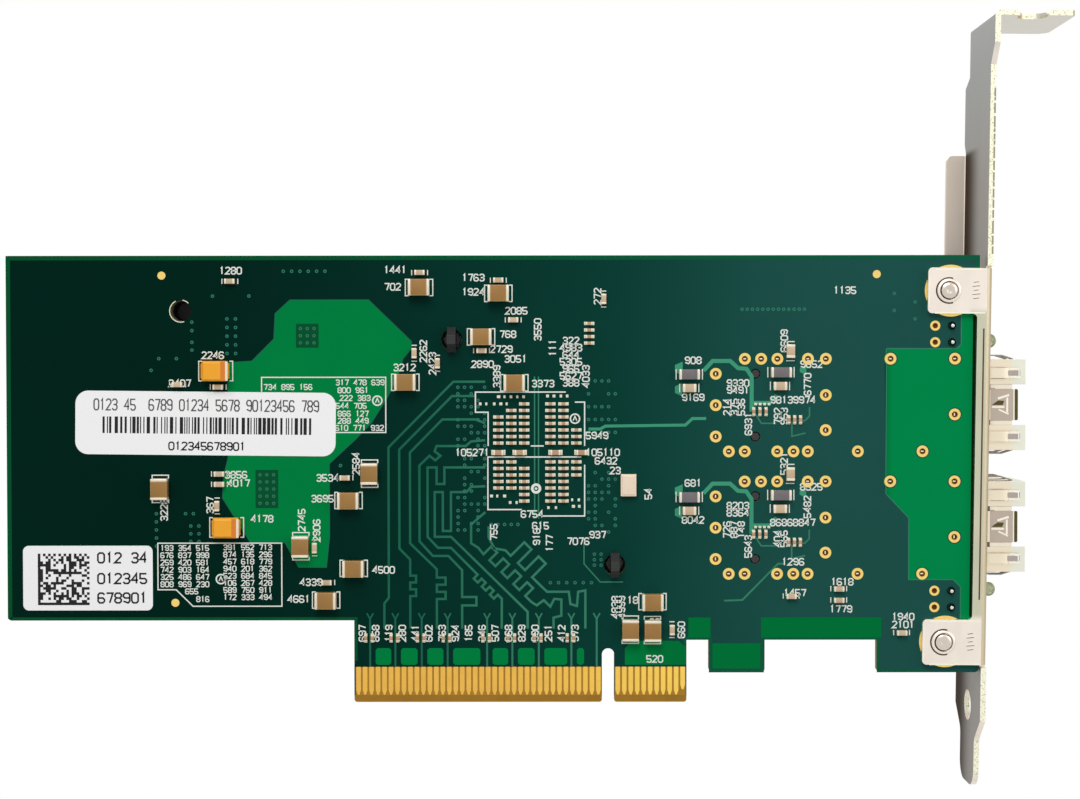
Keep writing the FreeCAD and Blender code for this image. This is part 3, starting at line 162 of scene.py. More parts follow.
class Effects:
    """Shader groups that the finishes share."""

    @staticmethod
    def open_group(name: str, inlets: dict[str, str], outlets: dict[str, str]) -> tuple:
        """Makes an empty group with named sockets.

        Args:
            name: Group name.
            inlets: Socket kind of each input, by name.
            outlets: Socket kind of each output, by name.

        Returns:
            The group's wiring, its input node and its output node.
        """
        tree = bpy.data.node_groups.new(name, "ShaderNodeTree")
        for way, sockets in (("INPUT", inlets), ("OUTPUT", outlets)):
            for label, kind in sockets.items():
                tree.interface.new_socket(label, in_out=way, socket_type="NodeSocket" + kind)
        return Wiring(tree), tree.nodes.new("NodeGroupInput"), tree.nodes.new("NodeGroupOutput")

    @classmethod
    def grain(cls) -> bpy.types.NodeTree:
        """Wandering colour, roughness and height, drawn out along an axis for brushed metal.

        Returns:
            The group.
        """
        found = bpy.data.node_groups.get("Surface grain")
        if found:
            return found
        inlets = {"Colour": "Color", "Stretch": "Vector", "Scale": "Float", "Spread": "Float",
                  "Roughness": "Float", "Rough Spread": "Float"}
        outlets = {"Colour": "Color", "Roughness": "Float", "Height": "Float"}
        wiring, inlet, outlet = cls.open_group("Surface grain", inlets, outlets)
        place = wiring.add("TexCoord")
        drawn = wiring.add("VectorMath", operation="MULTIPLY")
        wiring.join(place.outputs["Object"], drawn.inputs[0])
        wiring.join(inlet.outputs["Stretch"], drawn.inputs[1])
        noise = wiring.add("TexNoise", Detail=5.0)
        wiring.join(drawn.outputs[0], noise.inputs["Vector"])
        wiring.join(inlet.outputs["Scale"], noise.inputs["Scale"])
        swing = wiring.sum("SUBTRACT", noise.outputs["Fac"], 0.5)
        gain = wiring.sum("MULTIPLY_ADD", swing, inlet.outputs["Spread"], 1.0)
        colour = wiring.add("VectorMath", operation="SCALE")
        wiring.join(inlet.outputs["Colour"], colour.inputs[0])
        wiring.join(gain, colour.inputs["Scale"])
        rough = wiring.sum("MULTIPLY_ADD", swing, inlet.outputs["Rough Spread"], inlet.outputs["Roughness"])
        wiring.join(colour.outputs[0], outlet.inputs["Colour"])
        wiring.join(rough, outlet.inputs["Roughness"])
        wiring.join(noise.outputs["Fac"], outlet.inputs["Height"])
        return wiring.tree

    @classmethod
    def edge_highlight_and_scuff_mask(cls) -> bpy.types.NodeTree:
        """Mask of the corners, broken up by noise, for a painted highlight that also stands for scuffs.

        Returns:
            The group.
        """
        found = bpy.data.node_groups.get("Edge highlight and scuffs")
        if found:
            return found
        wiring, inlet, outlet = cls.open_group("Edge highlight and scuffs", {"Radius": "Float", "Amount": "Float"},
                                               {"Mask": "Float"})
        rounded = wiring.add("Bevel", samples=4)
        wiring.join(inlet.outputs["Radius"], rounded.inputs["Radius"])
        true = wiring.add("NewGeometry")
        turn = wiring.add("VectorMath", operation="DOT_PRODUCT")
        wiring.join(rounded.outputs["Normal"], turn.inputs[0])
        wiring.join(true.outputs["Normal"], turn.inputs[1])
        edge = wiring.sum("SUBTRACT", 1.0, turn.outputs["Value"])
        noise = wiring.add("TexNoise", Scale=900.0, Detail=3.0)
        place = wiring.add("TexCoord")
        wiring.join(place.outputs["Object"], noise.inputs["Vector"])
        broken = wiring.sum("MULTIPLY", edge, wiring.sum("ADD", noise.outputs["Fac"], 0.5))
        edge_highlight_and_scuff = wiring.add("Math", operation="MULTIPLY", use_clamp=True)
        wiring.join(broken, edge_highlight_and_scuff.inputs[0])
        wiring.join(inlet.outputs["Amount"], edge_highlight_and_scuff.inputs[1])
        wiring.join(edge_highlight_and_scuff.outputs[0], outlet.inputs["Mask"])
        return wiring.tree

    @classmethod
    def specks(cls) -> bpy.types.NodeTree:
        """Mask of small scattered specks.

        Returns:
            The group.
        """
        found = bpy.data.node_groups.get("Fine specks")
        if found:
            return found
        wiring, inlet, outlet = cls.open_group("Fine specks", {"Scale": "Float", "Share": "Float"},
                                               {"Mask": "Float"})
        place = wiring.add("TexCoord")
        noise = wiring.add("TexNoise", Detail=2.0, Roughness=0.7)
        wiring.join(place.outputs["Object"], noise.inputs["Vector"])
        wiring.join(inlet.outputs["Scale"], noise.inputs["Scale"])
        level = wiring.sum("SUBTRACT", 1.0, inlet.outputs["Share"])
        above = wiring.sum("SUBTRACT", noise.outputs["Fac"], level)
        mask = wiring.add("Math", operation="MULTIPLY", use_clamp=True)
        mask.inputs[1].default_value = 14.0
        wiring.join(above, mask.inputs[0])
        wiring.join(mask.outputs[0], outlet.inputs["Mask"])
        return wiring.tree


@dataclass(frozen=True)
class Drift:
    """Colour that a finish turns to along the card; some finishes use it for painted shade and painted sheen.
    """

    colour: Colour
    spans: tuple[tuple[str, float, float], ...] = (("X", -70.0, 60.0),)  # axis, start and end in millimetres

    def over(self, wiring: Wiring, plain: object) -> bpy.types.NodeSocket:
        """Lays the drift over a colour.

        Args:
            wiring: Wiring of the material.
            plain: Colour or output socket before the drift.

        Returns:
            The drifting colour.
        """
        place = wiring.add("TexCoord")
        axes = wiring.add("SeparateXYZ")
        wiring.join(place.outputs["Object"], axes.inputs[0])
        share = None
        for axis, start, stop in self.spans:
            reach = wiring.add("MapRange", interpolation_type="SMOOTHSTEP", From_Min=min(start, stop) * MM,
                               From_Max=max(start, stop) * MM, To_Min=float(start > stop),
                               To_Max=float(start < stop))
            wiring.join(axes.outputs[axis], reach.inputs["Value"])
            here = reach.outputs["Result"]
            share = here if share is None else wiring.sum("MULTIPLY", share, here)
        return wiring.blend(share, plain, self.colour)


@dataclass(frozen=True)
class Finish:
    """One surface finish: a colour that wanders, its gloss, its specks, and the painted highlight and scuffs
    on its corners.
    """

    name: str
    colour: Colour
    roughness: float = 0.5
    metallic: float = 0.0
    spread: float = 0.15  # how far the colour wanders
    rough_spread: float = 0.1
    scale: float = 500.0  # grain features in a metre
    stretch: tuple[float, float, float] = (1.0, 1.0, 1.0)
    relief: float = 0.0  # height of the grain, millimetres
    specular: float = 0.5
    coat: float = 0.0
    clear: float = 0.0  # share of light that passes, for glass
    edge_highlight_and_scuff: Colour | None = None  # colour of the corners: painted highlight, with some scuffing
    highlight_and_scuff_amount: float = 2.0
    highlight_and_scuff_radius: float = 0.15
    speck: Colour | None = None
    speck_share: float = 0.4
    speck_scale: float = 3000.0
    edge_tint: Colour = (1.0, 1.0, 1.0)  # what a metal shows at a grazing angle
    drifts: tuple[Drift, ...] = ()

    def material(self) -> bpy.types.Material:
        """Builds the finish's material once.

        Returns:
            The material.
        """
        title = self.name + "_finish"
        made = bpy.data.materials.get(title)
        if made:
            return made
        made = bpy.data.materials.new(title)
        made.use_nodes = True
        made.node_tree.nodes.clear()
        wiring = Wiring(made.node_tree)
        shader = wiring.add("BsdfPrincipled", Metallic=self.metallic, Specular_IOR_Level=self.specular,
                            Coat_Weight=self.coat, Coat_Roughness=0.15, Transmission_Weight=self.clear,
                            Specular_Tint=(*self.edge_tint, 1))
        grain = wiring.add("Group", node_tree=Effects.grain(), Colour=(*self.colour, 1),
                           Stretch=self.stretch, Scale=self.scale, Spread=self.spread,
                           Roughness=self.roughness, Rough_Spread=self.rough_spread)
        plain = self.colour
        for drift in self.drifts:
            plain = drift.over(wiring, plain)
        if self.drifts:
            wiring.join(plain, grain.inputs["Colour"])
        colour = grain.outputs["Colour"]
        if self.speck:
            specks = wiring.add("Group", node_tree=Effects.specks(), Scale=self.speck_scale,
                                Share=self.speck_share)
            colour = wiring.blend(specks.outputs["Mask"], colour, self.speck)
        # Painted highlight on the corners, which also stands for scuffs.
        if self.edge_highlight_and_scuff:
            lit_scuffed_edges = wiring.add("Group", node_tree=Effects.edge_highlight_and_scuff_mask(), Radius=self.highlight_and_scuff_radius * MM,
                                Amount=self.highlight_and_scuff_amount)
            colour = wiring.blend(lit_scuffed_edges.outputs["Mask"], colour, self.edge_highlight_and_scuff)
        wiring.join(colour, shader.inputs["Base Color"])
        wiring.join(grain.outputs["Roughness"], shader.inputs["Roughness"])
        if self.relief:
            bump = wiring.add("Bump", Strength=0.6, Distance=self.relief * MM)
            wiring.join(grain.outputs["Height"], bump.inputs["Height"])
            wiring.join(bump.outputs["Normal"], shader.inputs["Normal"])
        sink = wiring.add("OutputMaterial")
        wiring.join(shader.outputs["BSDF"], sink.inputs["Surface"])
        return made


# The mask's drifts to a lighter teal towards +X are a painted sheen, the gloss lit from the right.
MASK = Finish("mask_green", tone(0, 37, 28), 0.36, spread=0.2, scale=60, specular=0.02, relief=0.004,
              drifts=(Drift(tone(16, 76, 66)), Drift(tone(31, 83, 76), (("X", -2.0, 36.0),))))
AMBER = Finish("bare_laminate", tone(176, 128, 40), 0.5, spread=0.3, scale=500, specular=0.2)
MASK_BACK = Finish("mask_green_back", tone(4, 66, 50), 0.34, spread=0.25, scale=60, specular=0.2,
                   relief=0.004)
DEEP_MASK = Finish("mask_in_shade", tone(6, 34, 12), 0.5, spread=0.3, scale=200, specular=0.02)
POUR = Finish("mask_over_pour", tone(0, 132, 66), 0.38, spread=0.12, scale=90, specular=0.02,
              drifts=(Drift(tone(0, 118, 58), (("X", 0.0, 12.0),)),
                      Drift(tone(0, 140, 76), (("X", 42.2, 44.0),))))
TRACE = Finish("mask_over_trace", tone(32, 104, 80), 0.3, spread=0.4, scale=160, specular=0.03,
               drifts=(Drift(tone(58, 130, 104), (("X", -32.0, -10.0),)),))
BRIGHT_TRACE = Finish("mask_over_wide_trace", tone(66, 158, 122), 0.3, spread=0.3, scale=160, specular=0.03)
LAMINATE = Finish("laminate_edge", tone(96, 104, 52), 0.75, spread=0.5, scale=900, stretch=(1, 6, 1),
                  speck=tone(160, 140, 80), speck_share=0.45)
GOLD = Finish("plated_gold", tone(227, 177, 78), 0.26, 1.0, spread=0.2, scale=700, relief=0.002,
              edge_highlight_and_scuff=tone(255, 226, 150), highlight_and_scuff_amount=1.5, highlight_and_scuff_radius=0.08,
              drifts=(Drift(tone(244, 204, 92), (("X", -20.0, 18.0),)),))
PALE_GOLD = Finish("pad_gold", tone(236, 206, 118), 0.3, 1.0, spread=0.2, scale=900)
SILK = Finish("silkscreen_ink", tone(236, 240, 232), 0.7, spread=0.12, scale=1500, specular=0.3)
# Bracket steel. Its first drift, greyer beyond X 55.9 between Z 14 and 60, is painted shade meant for the
# fold strip between the tabs; it also greys the sheet's outer face there.
BRACKET_STEEL = Finish("bracket_nickel", tone(230, 220, 208), 0.36, 1.0, spread=0.14, scale=420,
                       stretch=(1, 1, 0.4), relief=0.008, edge_highlight_and_scuff=tone(255, 250, 236), highlight_and_scuff_amount=2.4,
                       drifts=(Drift(tone(190, 190, 166), (("X", 55.2, 55.9), ("Z", 12.6, 13.8),
                                                           ("Z", 60.9, 59.7))),
                               Drift(tone(200, 196, 184), (("Z", 99.0, 103.5),))))
# A darker copy of the bracket steel for the sheet's inner faces: painted shade. Its last drift, dark brown
# over Y 4 to 14.5 below Z 86, is the flange's painted shadow.
INNER_STEEL = Finish("bracket_inner_face_shaded", tone(168, 165, 160), 0.5, 0.8, spread=0.1, scale=200,
                     stretch=(1, 1, 0.2),
                     edge_tint=(0.42, 0.41, 0.4), relief=0.003, specular=0.1,
                     drifts=(Drift(tone(166, 167, 165), (("Z", 80.0, 98.0),)),
                             Drift(tone(66, 54, 44), (("Y", 4.0, 14.5), ("Z", 86.6, 85.4)))))
FLANGE_STEEL = Finish("bracket_flange", tone(230, 217, 203), 0.42, 0.9, spread=0.14, scale=260,
                      stretch=(1, 1, 0.2),
                      edge_tint=(0.6, 0.58, 0.55), relief=0.004,
                      drifts=(Drift(tone(84, 76, 66), (("X", 54.95, 54.55),)),))
# A darker, tan copy of the bracket steel for the fold's curved faces: painted shade.
FOLD_STEEL = Finish("bracket_fold_shaded", tone(196, 182, 154), 0.4, 0.9, spread=0.12, scale=260,
                    stretch=(1, 1, 0.15),
                    edge_tint=(0.5, 0.48, 0.42), relief=0.003)
EDGE_SHADE = Finish("cut_edge_shade", tone(160, 158, 128), 0.6, 0.2, spread=0.5, scale=1200, specular=0.1)
FOLD_GROOVE = Finish("fold_groove", tone(96, 74, 54), 0.5, 0.3, spread=0.4, scale=900, specular=0.1)
# Painted shade in crescents round the tapped bosses.
BOSS_SHADE = Finish("boss_painted_shade", tone(74, 56, 40), 0.6, spread=0.4, scale=900, specular=0.1)
CUT_STEEL = Finish("bracket_cut_edge", tone(250, 248, 222), 0.5, 0.5, spread=0.12, scale=1500,
                   speck=tone(176, 172, 138), speck_share=0.44, speck_scale=3600)
SCREW_STEEL = Finish("screw_nickel", tone(206, 196, 184), 0.28, 1.0, spread=0.25, scale=1500,
                     stretch=(1, 0.2, 1), relief=0.003, edge_highlight_and_scuff=tone(235, 228, 214))
CAGE_METAL = Finish("cage_nickel_silver", tone(228, 216, 192), 0.34, 1.0, spread=0.14, scale=300,
                    stretch=(0.15, 1, 1), relief=0.003, edge_highlight_and_scuff=tone(250, 244, 228), highlight_and_scuff_amount=1.4,
                    highlight_and_scuff_radius=0.1, drifts=(Drift(tone(222, 222, 206), (("X", 61.8, 63.2),)),))
# A darker copy of the cage metal for its inner faces: painted shade.
CAGE_INSIDE_SHADE = Finish("cage_inner_faces_shaded", tone(150, 142, 132), 0.5, 0.7, spread=0.2, scale=300,
                     edge_tint=(0.5, 0.5, 0.5), specular=0.2)
LATCH_METAL = Finish("cage_latch_plate", tone(184, 170, 156), 0.4, 0.8, spread=0.14, scale=500, specular=0.2)
# Painted shade in the finger pockets under the noses.
POCKET_SHADE = Finish("cage_finger_pocket_shade", tone(172, 162, 154), 0.5, 0.6, spread=0.2, scale=700, specular=0.2)
GAP_METAL = Finish("cage_latch_gap", tone(244, 234, 212), 0.4, 0.4, spread=0.1, scale=700)
# Painted shade at the latch plate's end, in its triangle and in the slits.
LATCH_SHADE = Finish("cage_latch_painted_shade", tone(86, 80, 44), 0.5, 0.4, spread=0.4, scale=700, specular=0.1)
# Painted highlights along edges of the noses and of the bracket's tabs.
PAINTED_HIGHLIGHT = Finish("painted_highlight_cream", tone(252, 244, 226), 0.4, 0.4, spread=0.1, scale=900)
SPRING_METAL = Finish("spring_copper_alloy", tone(150, 144, 130), 0.35, 0.9, spread=0.2, scale=600,
                      edge_tint=(0.4, 0.4, 0.4))
TIN = Finish("tinned_copper", tone(206, 204, 198), 0.34, 1.0, spread=0.2, scale=1200, relief=0.01)
SOLDER = Finish("solder_fillet", tone(190, 188, 180), 0.3, 1.0, spread=0.25, scale=1500, relief=0.02)
# Dark teal solder: a painted reflection of the green mask round it; its white corners are painted glints.
SOLDER_PAINTED_REFLECTION = Finish("lead_solder_painted_reflection", tone(48, 66, 62), 0.28, 0.9, spread=0.5, scale=900, relief=0.03,
                     edge_tint=(0.5, 0.5, 0.5), edge_highlight_and_scuff=tone(240, 246, 240), highlight_and_scuff_amount=1.2, highlight_and_scuff_radius=0.12)
TERMINAL = Finish("terminal_cream", tone(234, 224, 202), 0.42, 0.35, spread=0.16, scale=1800, relief=0.01)
# Its lighter corners are a painted highlight where the rounded edges catch the light.
CERAMIC = Finish("ceramic_tan", tone(162, 121, 66), 0.45, spread=0.45, scale=260, relief=0.004,
                 specular=0.3, edge_highlight_and_scuff=tone(232, 208, 168), highlight_and_scuff_amount=3.0, highlight_and_scuff_radius=0.22)
CERAMIC_DARK = Finish("ceramic_brown", tone(190, 156, 124), 0.45, spread=0.6, scale=420, specular=0.3)
CERAMIC_PINK = Finish("ceramic_pink", tone(208, 184, 152), 0.45, spread=0.5, scale=300, specular=0.3)
CREAM = Finish("ceramic_cream", tone(232, 222, 178), 0.5, spread=0.1, scale=800, specular=0.4)
CRYSTAL_LID = Finish("crystal_lid", tone(238, 218, 194), 0.4, 0.3, spread=0.1, scale=900, relief=0.004)
BEAD = Finish("bead_grey", tone(112, 106, 108), 0.42, spread=0.35, scale=900, relief=0.006)
PAD_SOLDER = Finish("pad_solder", tone(224, 222, 200), 0.4, 0.3, spread=0.4, scale=1600, relief=0.01)
FERRITE = Finish("ferrite_grey", tone(58, 56, 54), 0.42, spread=0.35, scale=1600, relief=0.01)
CHIP_BLACK = Finish("moulded_epoxy", tone(32, 32, 34), 0.5, spread=0.3, scale=3000, relief=0.01,
                    edge_highlight_and_scuff=tone(80, 80, 82), highlight_and_scuff_amount=0.6)
SUBSTRATE = Finish("package_substrate", tone(22, 66, 44), 0.45, spread=0.2, scale=500)
LID_METAL = Finish("lid_nickel", tone(170, 168, 164), 0.36, 1.0, spread=0.1, scale=400, relief=0.002)
THERMAL = Finish("thermal_rubber", tone(150, 156, 168), 0.8, spread=0.15, scale=900, relief=0.02)
SINK = Finish("anodised_black", tone(26, 27, 30), 0.42, 0.3, spread=0.3, scale=500, stretch=(0.1, 1, 1),
              relief=0.006, edge_highlight_and_scuff=tone(96, 98, 102), highlight_and_scuff_amount=0.8)
PIN_BLACK = Finish("moulded_nylon", tone(20, 20, 21), 0.38, spread=0.3, scale=900, relief=0.004,
                   edge_highlight_and_scuff=tone(86, 88, 90), highlight_and_scuff_amount=0.8)
CONNECTOR_BLACK = Finish("connector_resin", tone(26, 26, 27), 0.5, spread=0.25, scale=1200, relief=0.006)
LENS = Finish("lens_clear", tone(186, 198, 156), 0.12, spread=0.1, scale=300, clear=0.55, rough_spread=0.02)
TANTALUM = Finish("tantalum_yellow", tone(252, 172, 30), 0.42, spread=0.12, scale=700, relief=0.006,
                  edge_highlight_and_scuff=tone(255, 205, 92), highlight_and_scuff_amount=0.8)
TANTALUM_BAND = Finish("tantalum_band", tone(226, 128, 34), 0.42, spread=0.15, scale=700, relief=0.006)
PAPER = Finish("label_paper", tone(255, 255, 255), 0.55, spread=0.02, scale=2500, relief=0.002,
               specular=0.3)
INK = Finish("label_ink", tone(26, 26, 28), 0.6, spread=0.2, scale=2500, specular=0.2)
GREY_INK = Finish("label_grey_ink", tone(92, 92, 94), 0.6, spread=0.2, scale=2500, specular=0.2)
# Its drift to a lighter teal towards +X is the same painted sheen as the mask's.
BORDER = Finish("mask_over_border", tone(8, 84, 46), 0.36, spread=0.3, scale=120, specular=0.02,
                drifts=(Drift(tone(20, 92, 66)),))
VIA = Finish("mask_over_via", tone(54, 126, 106), 0.3, spread=0.3, scale=600, specular=0.05)
BRASS_RIM = Finish("hole_plating", tone(196, 160, 92), 0.35, 1.0, spread=0.3, scale=1500)
# Brown painted shade for the inside of the holes, tinted like their copper.
SHADOW = Finish("hole_painted_shade", tone(112, 56, 22), 0.7, spread=0.5, scale=900, specular=0.1)


@dataclass(frozen=True)
class Box:
    """Lowest and highest corners of a solid, in millimetres."""

    low: Vector
    high: Vector

    @property
    def middle(self) -> Vector:
        """Centre of the box."""
        return (self.low + self.high) / 2

    @property
    def size(self) -> Vector:
        """Length of each side."""
        return self.high - self.low


Point3 = tuple[float, float, float]


class Form:
    """Mesh under construction, in millimetres; each face has the number of its finish."""

    def __init__(self) -> None:
        """Starts an empty mesh that paints with finish 0."""
        self.mesh = bmesh.new()
        self.paint = 0

    @classmethod
    def of(cls, node: str) -> "Form":
        """Starts from the solid of a node of the frame.

        Args:
            node: Its name.

        Returns:
            The form, with its flat faces merged so that its corners can be rounded.
        """
        form = cls()
        form.mesh.from_mesh(bpy.data.objects[node].data)
        form.mesh.transform(Matrix.Scale(1 / MM, 4))
        bmesh.ops.remove_doubles(form.mesh, verts=form.mesh.verts, dist=0.002)
        bmesh.ops.dissolve_limit(form.mesh, angle_limit=math.radians(0.6), verts=form.mesh.verts,
                                 edges=form.mesh.edges)
        return form

    def face(self, corners: list[bmesh.types.BMVert]) -> None:
        """Adds a face in the current finish."""
        self.mesh.faces.new(corners).material_index = self.paint

    def repaint(self, paint: int, chosen: Callable[[Vector, Vector], bool]) -> None:
        """Gives a finish to some faces.

        Args:
            paint: Number of the finish.
            chosen: Test of a face's centre and normal.
        """
        for face in self.mesh.faces:
            if chosen(face.calc_center_median(), face.normal):
                face.material_index = paint

    def slab(self, outline: list[Point], near: float, far: float, holes: list[list[Point]] | None = None,
             edge_paint: int | None = None) -> None:
        """Adds a flat piece.

        Args:
            outline: Its (x, z) corners in order.
            near: Depth of one face.
            far: Depth of the other.
            holes: Corners of each hole through it.
            edge_paint: Finish of its edge, if that differs.
        """
        loops = [outline, *(holes or [])]
        points = [point for loop in loops for point in loop]
        rows = [[self.mesh.verts.new((x, y, z)) for x, z in points] for y in (near, far)]
        if holes:
            flat = tessellate_polygon([[Vector((x, z, 0)) for x, z in loop] for loop in loops])
        else:
            flat = [tuple(range(len(outline)))]
        for corners in flat:
            self.face([rows[0][n] for n in corners])
            self.face([rows[1][n] for n in reversed(corners)])
        face_paint = self.paint
        self.paint = face_paint if edge_paint is None else edge_paint
        start = 0
        for loop in loops:
            for n in range(len(loop)):
                a = start + n
                b = start + (n + 1) % len(loop)
                self.face([rows[0][a], rows[0][b], rows[1][b], rows[1][a]])
            start += len(loop)
        self.paint = face_paint

    def ribbon(self, path: list[Point], width: float, near: float, far: float, closed: bool = False) -> None:
        """Adds a flat line of even width with mitred corners.

        Args:
            path: Its (x, z) points.
            width: Line width.
            near: Depth of one face.
            far: Depth of the other.
            closed: Whether its ends join.
        """
        sides = []
        count = len(path)
        for n, (x, z) in enumerate(path):
            before = Vector(path[n]) - Vector(path[n - 1]) if n or closed else None
            after = Vector(path[(n + 1) % count]) - Vector(path[n]) if n < count - 1 or closed else None
            ways = [way.normalized() for way in (before, after) if way is not None and way.length > 1e-6]
            way = (ways[0] + ways[-1]).normalized() if (ways[0] + ways[-1]).length > 1e-3 else ways[0]
            reach = width / 2 / max(0.35, way.dot(ways[0]))
            out = Vector((-way.y, way.x)) * reach
            sides.append(((x + out.x, z + out.y), (x - out.x, z - out.y)))
        rows = [[[self.mesh.verts.new((x, y, z)) for x, z in pair] for y in (near, far)] for pair in sides]
        for n in range(count if closed else count - 1):
            (a, b), (c, d) = rows[n], rows[(n + 1) % count]
            for corners in ((a[0], a[1], c[1], c[0]), (b[1], b[0], d[0], d[1]), (a[0], c[0], d[0], b[0]),
                            (a[1], b[1], d[1], c[1])):
                self.face(list(corners))
        if not closed:
            for (a, b) in (rows[0], rows[-1]):
                self.face([a[0], b[0], b[1], a[1]])

    def ring(self, x: float, z: float, outer: float, inner: float, near: float, far: float,
             steps: int = 28) -> None:
        """Adds a flat ring round (x, z).

        Args:
            x: Centre along the card.
            z: Centre up the card.
            outer: Outer radius.
            inner: Inner radius.
            near: Depth of one face.
            far: Depth of the other.
            steps: Corners round it.
        """
        self.ribbon(circle(x, z, (outer + inner) / 2, steps), outer - inner, near, far, closed=True)

    def box(self, low: Point3, high: Point3, rounding: float = 0.0, steps: int = 2) -> None:
        """Adds a box with rounded corners.

        Args:
            low: Lowest corner.
            high: Highest corner.
            rounding: Radius of its corners.
            steps: Segments across a rounded corner.
        """
        size = Vector(high) - Vector(low)
        place = Matrix.Translation((Vector(low) + Vector(high)) / 2) @ Matrix.Diagonal((*size, 1))
        verts = bmesh.ops.create_cube(self.mesh, size=1, matrix=place)["verts"]
        faces = {face for vert in verts for face in vert.link_faces}
        for face in faces:
            face.material_index = self.paint
        if rounding > 0:
            edges = list({edge for vert in verts for edge in vert.link_edges})
            made = bmesh.ops.bevel(self.mesh, geom=edges, offset=min(rounding, min(size) * 0.45),
                                   segments=steps, profile=0.5, affect="EDGES")
            for face in made["faces"]:
                face.material_index = self.paint

    def turned(self, profile: list[Point], x: float, z: float, steps: int = 32) -> None:
        """Adds a round part about an axis along Y.

        Args:
            profile: Its (radius, y) points; a radius of 0 closes an end.
            x: Axis along the card.
            z: Axis up the card.
            steps: Corners round it.
        """
        rows = []
        for radius, y in profile:
            if radius < 1e-6:
                rows.append([self.mesh.verts.new((x, y, z))] * steps)
                continue
            rows.append([self.mesh.verts.new((a, y, b)) for a, b in circle(x, z, radius, steps)])
        for first, second in zip(rows, rows[1:]):
            for n in range(steps):
                corners = [first[n], first[(n + 1) % steps], second[(n + 1) % steps], second[n]]
                unique = list(dict.fromkeys(corners))
                if len(unique) > 2:
                    self.face(unique)
        for row in (rows[0], rows[-1]):
            if row[0] is not row[1]:
                self.face(row)

    def piece(self, name: str, finishes: list[Finish], slot: str, replaces: tuple[str, ...] = (),
              rounding: float = 0.0, smooth: float = 32.0) -> bpy.types.Object:
        """Turns the form into a piece that rides on the card.

        Args:
            name: Piece name.
            finishes: Its finishes, by number.
            slot: Material slot of the record; not used.
            replaces: Nodes of the frame that it stands for.
            rounding: Radius that a bevel gives its sharp corners.
            smooth: Angle, in degrees, above which a corner stays sharp.

        Returns:
            The piece.
        """
        bmesh.ops.recalc_face_normals(self.mesh, faces=self.mesh.faces)
        self.mesh.transform(Matrix.Scale(MM, 4))
        for face in self.mesh.faces:
            face.smooth = True
        for edge in self.mesh.edges:
            edge.smooth = len(edge.link_faces) == 2 and edge.calc_face_angle(0) < math.radians(smooth)
        data = bpy.data.meshes.new(name)
        self.mesh.to_mesh(data)
        self.mesh.free()
        for finish in finishes:
            data.materials.append(finish.material())
        made = bpy.data.objects.new(name, data)
        bpy.context.scene.collection.objects.link(made)
        if rounding:
            bevel = made.modifiers.new("rounding", "BEVEL")
            bevel.width = rounding * MM
            bevel.segments = 2
            bevel.limit_method = "ANGLE"
            bevel.angle_limit = math.radians(35)
            bevel.harden_normals = True
        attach(made, "root")
        if replaces:
            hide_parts(*replaces)
        log.info("%s: %d faces", name, len(data.polygons))
        return made


def circle(x: float, z: float, radius: float, steps: int = 28, start: float = 0.0) -> list[Point]:
    """Points round a circle.

    Args:
        x: Centre along the card.
        z: Centre up the card.
        radius: Its radius.
        steps: How many points.
        start: Angle of the first, in degrees.

    Returns:
        The points in order.
    """
    turns = [math.radians(start) + 2 * math.pi * n / steps for n in range(steps)]
    return [(x + radius * math.cos(turn), z + radius * math.sin(turn)) for turn in turns]


def rounded(corners: list[tuple[float, float, float]], steps: int = 5) -> list[Point]:
    """Outline whose corners are rounded.

    Args:
        corners: (x, z, radius) of each corner in order.
        steps: Segments across a corner.

    Returns:
        The outline.
    """
    outline = []
    for n, (x, z, radius) in enumerate(corners):
        here = Vector((x, z))
        before = (Vector(corners[n - 1][:2]) - here).normalized()
        after = (Vector(corners[(n + 1) % len(corners)][:2]) - here).normalized()
        half = before.angle(after) / 2
        if radius <= 0 or abs(half - math.pi / 2) < 1e-4:
            outline.append((x, z))
            continue
        trim = radius / math.tan(half)
        centre = here + (before + after).normalized() * (radius / math.sin(half))
        first = here + before * trim - centre
        last = here + after * trim - centre
        for step in range(steps + 1):
            arm = (first * (steps - step) + last * step).normalized() * radius
            outline.append(tuple(centre + arm))
    return outline


def solids(node: str) -> list[Box]:
    """Boxes of the separate solids of a node of the frame.

    Args:
        node: Its name.

    Returns:
        One box for each solid, from the rear of the card to the bracket.
    """
    form = Form.of(node)
    left = set(form.mesh.verts)
    boxes = []
    while left:
        found = {left.pop()}
        edge_front = list(found)
        while edge_front:
            vert = edge_front.pop()
            for edge in vert.link_edges:
                other = edge.other_vert(vert)
                if other in left:
                    left.discard(other)
                    found.add(other)
                    edge_front.append(other)
        spots = [vert.co for vert in found]
        low = Vector([min(spot[axis] for spot in spots) for axis in range(3)])
        high = Vector([max(spot[axis] for spot in spots) for axis in range(3)])
        boxes.append(Box(low, high))
    form.mesh.free()
    return sorted(boxes, key=lambda box: (round(box.low.x, 2), round(box.low.z, 2)))


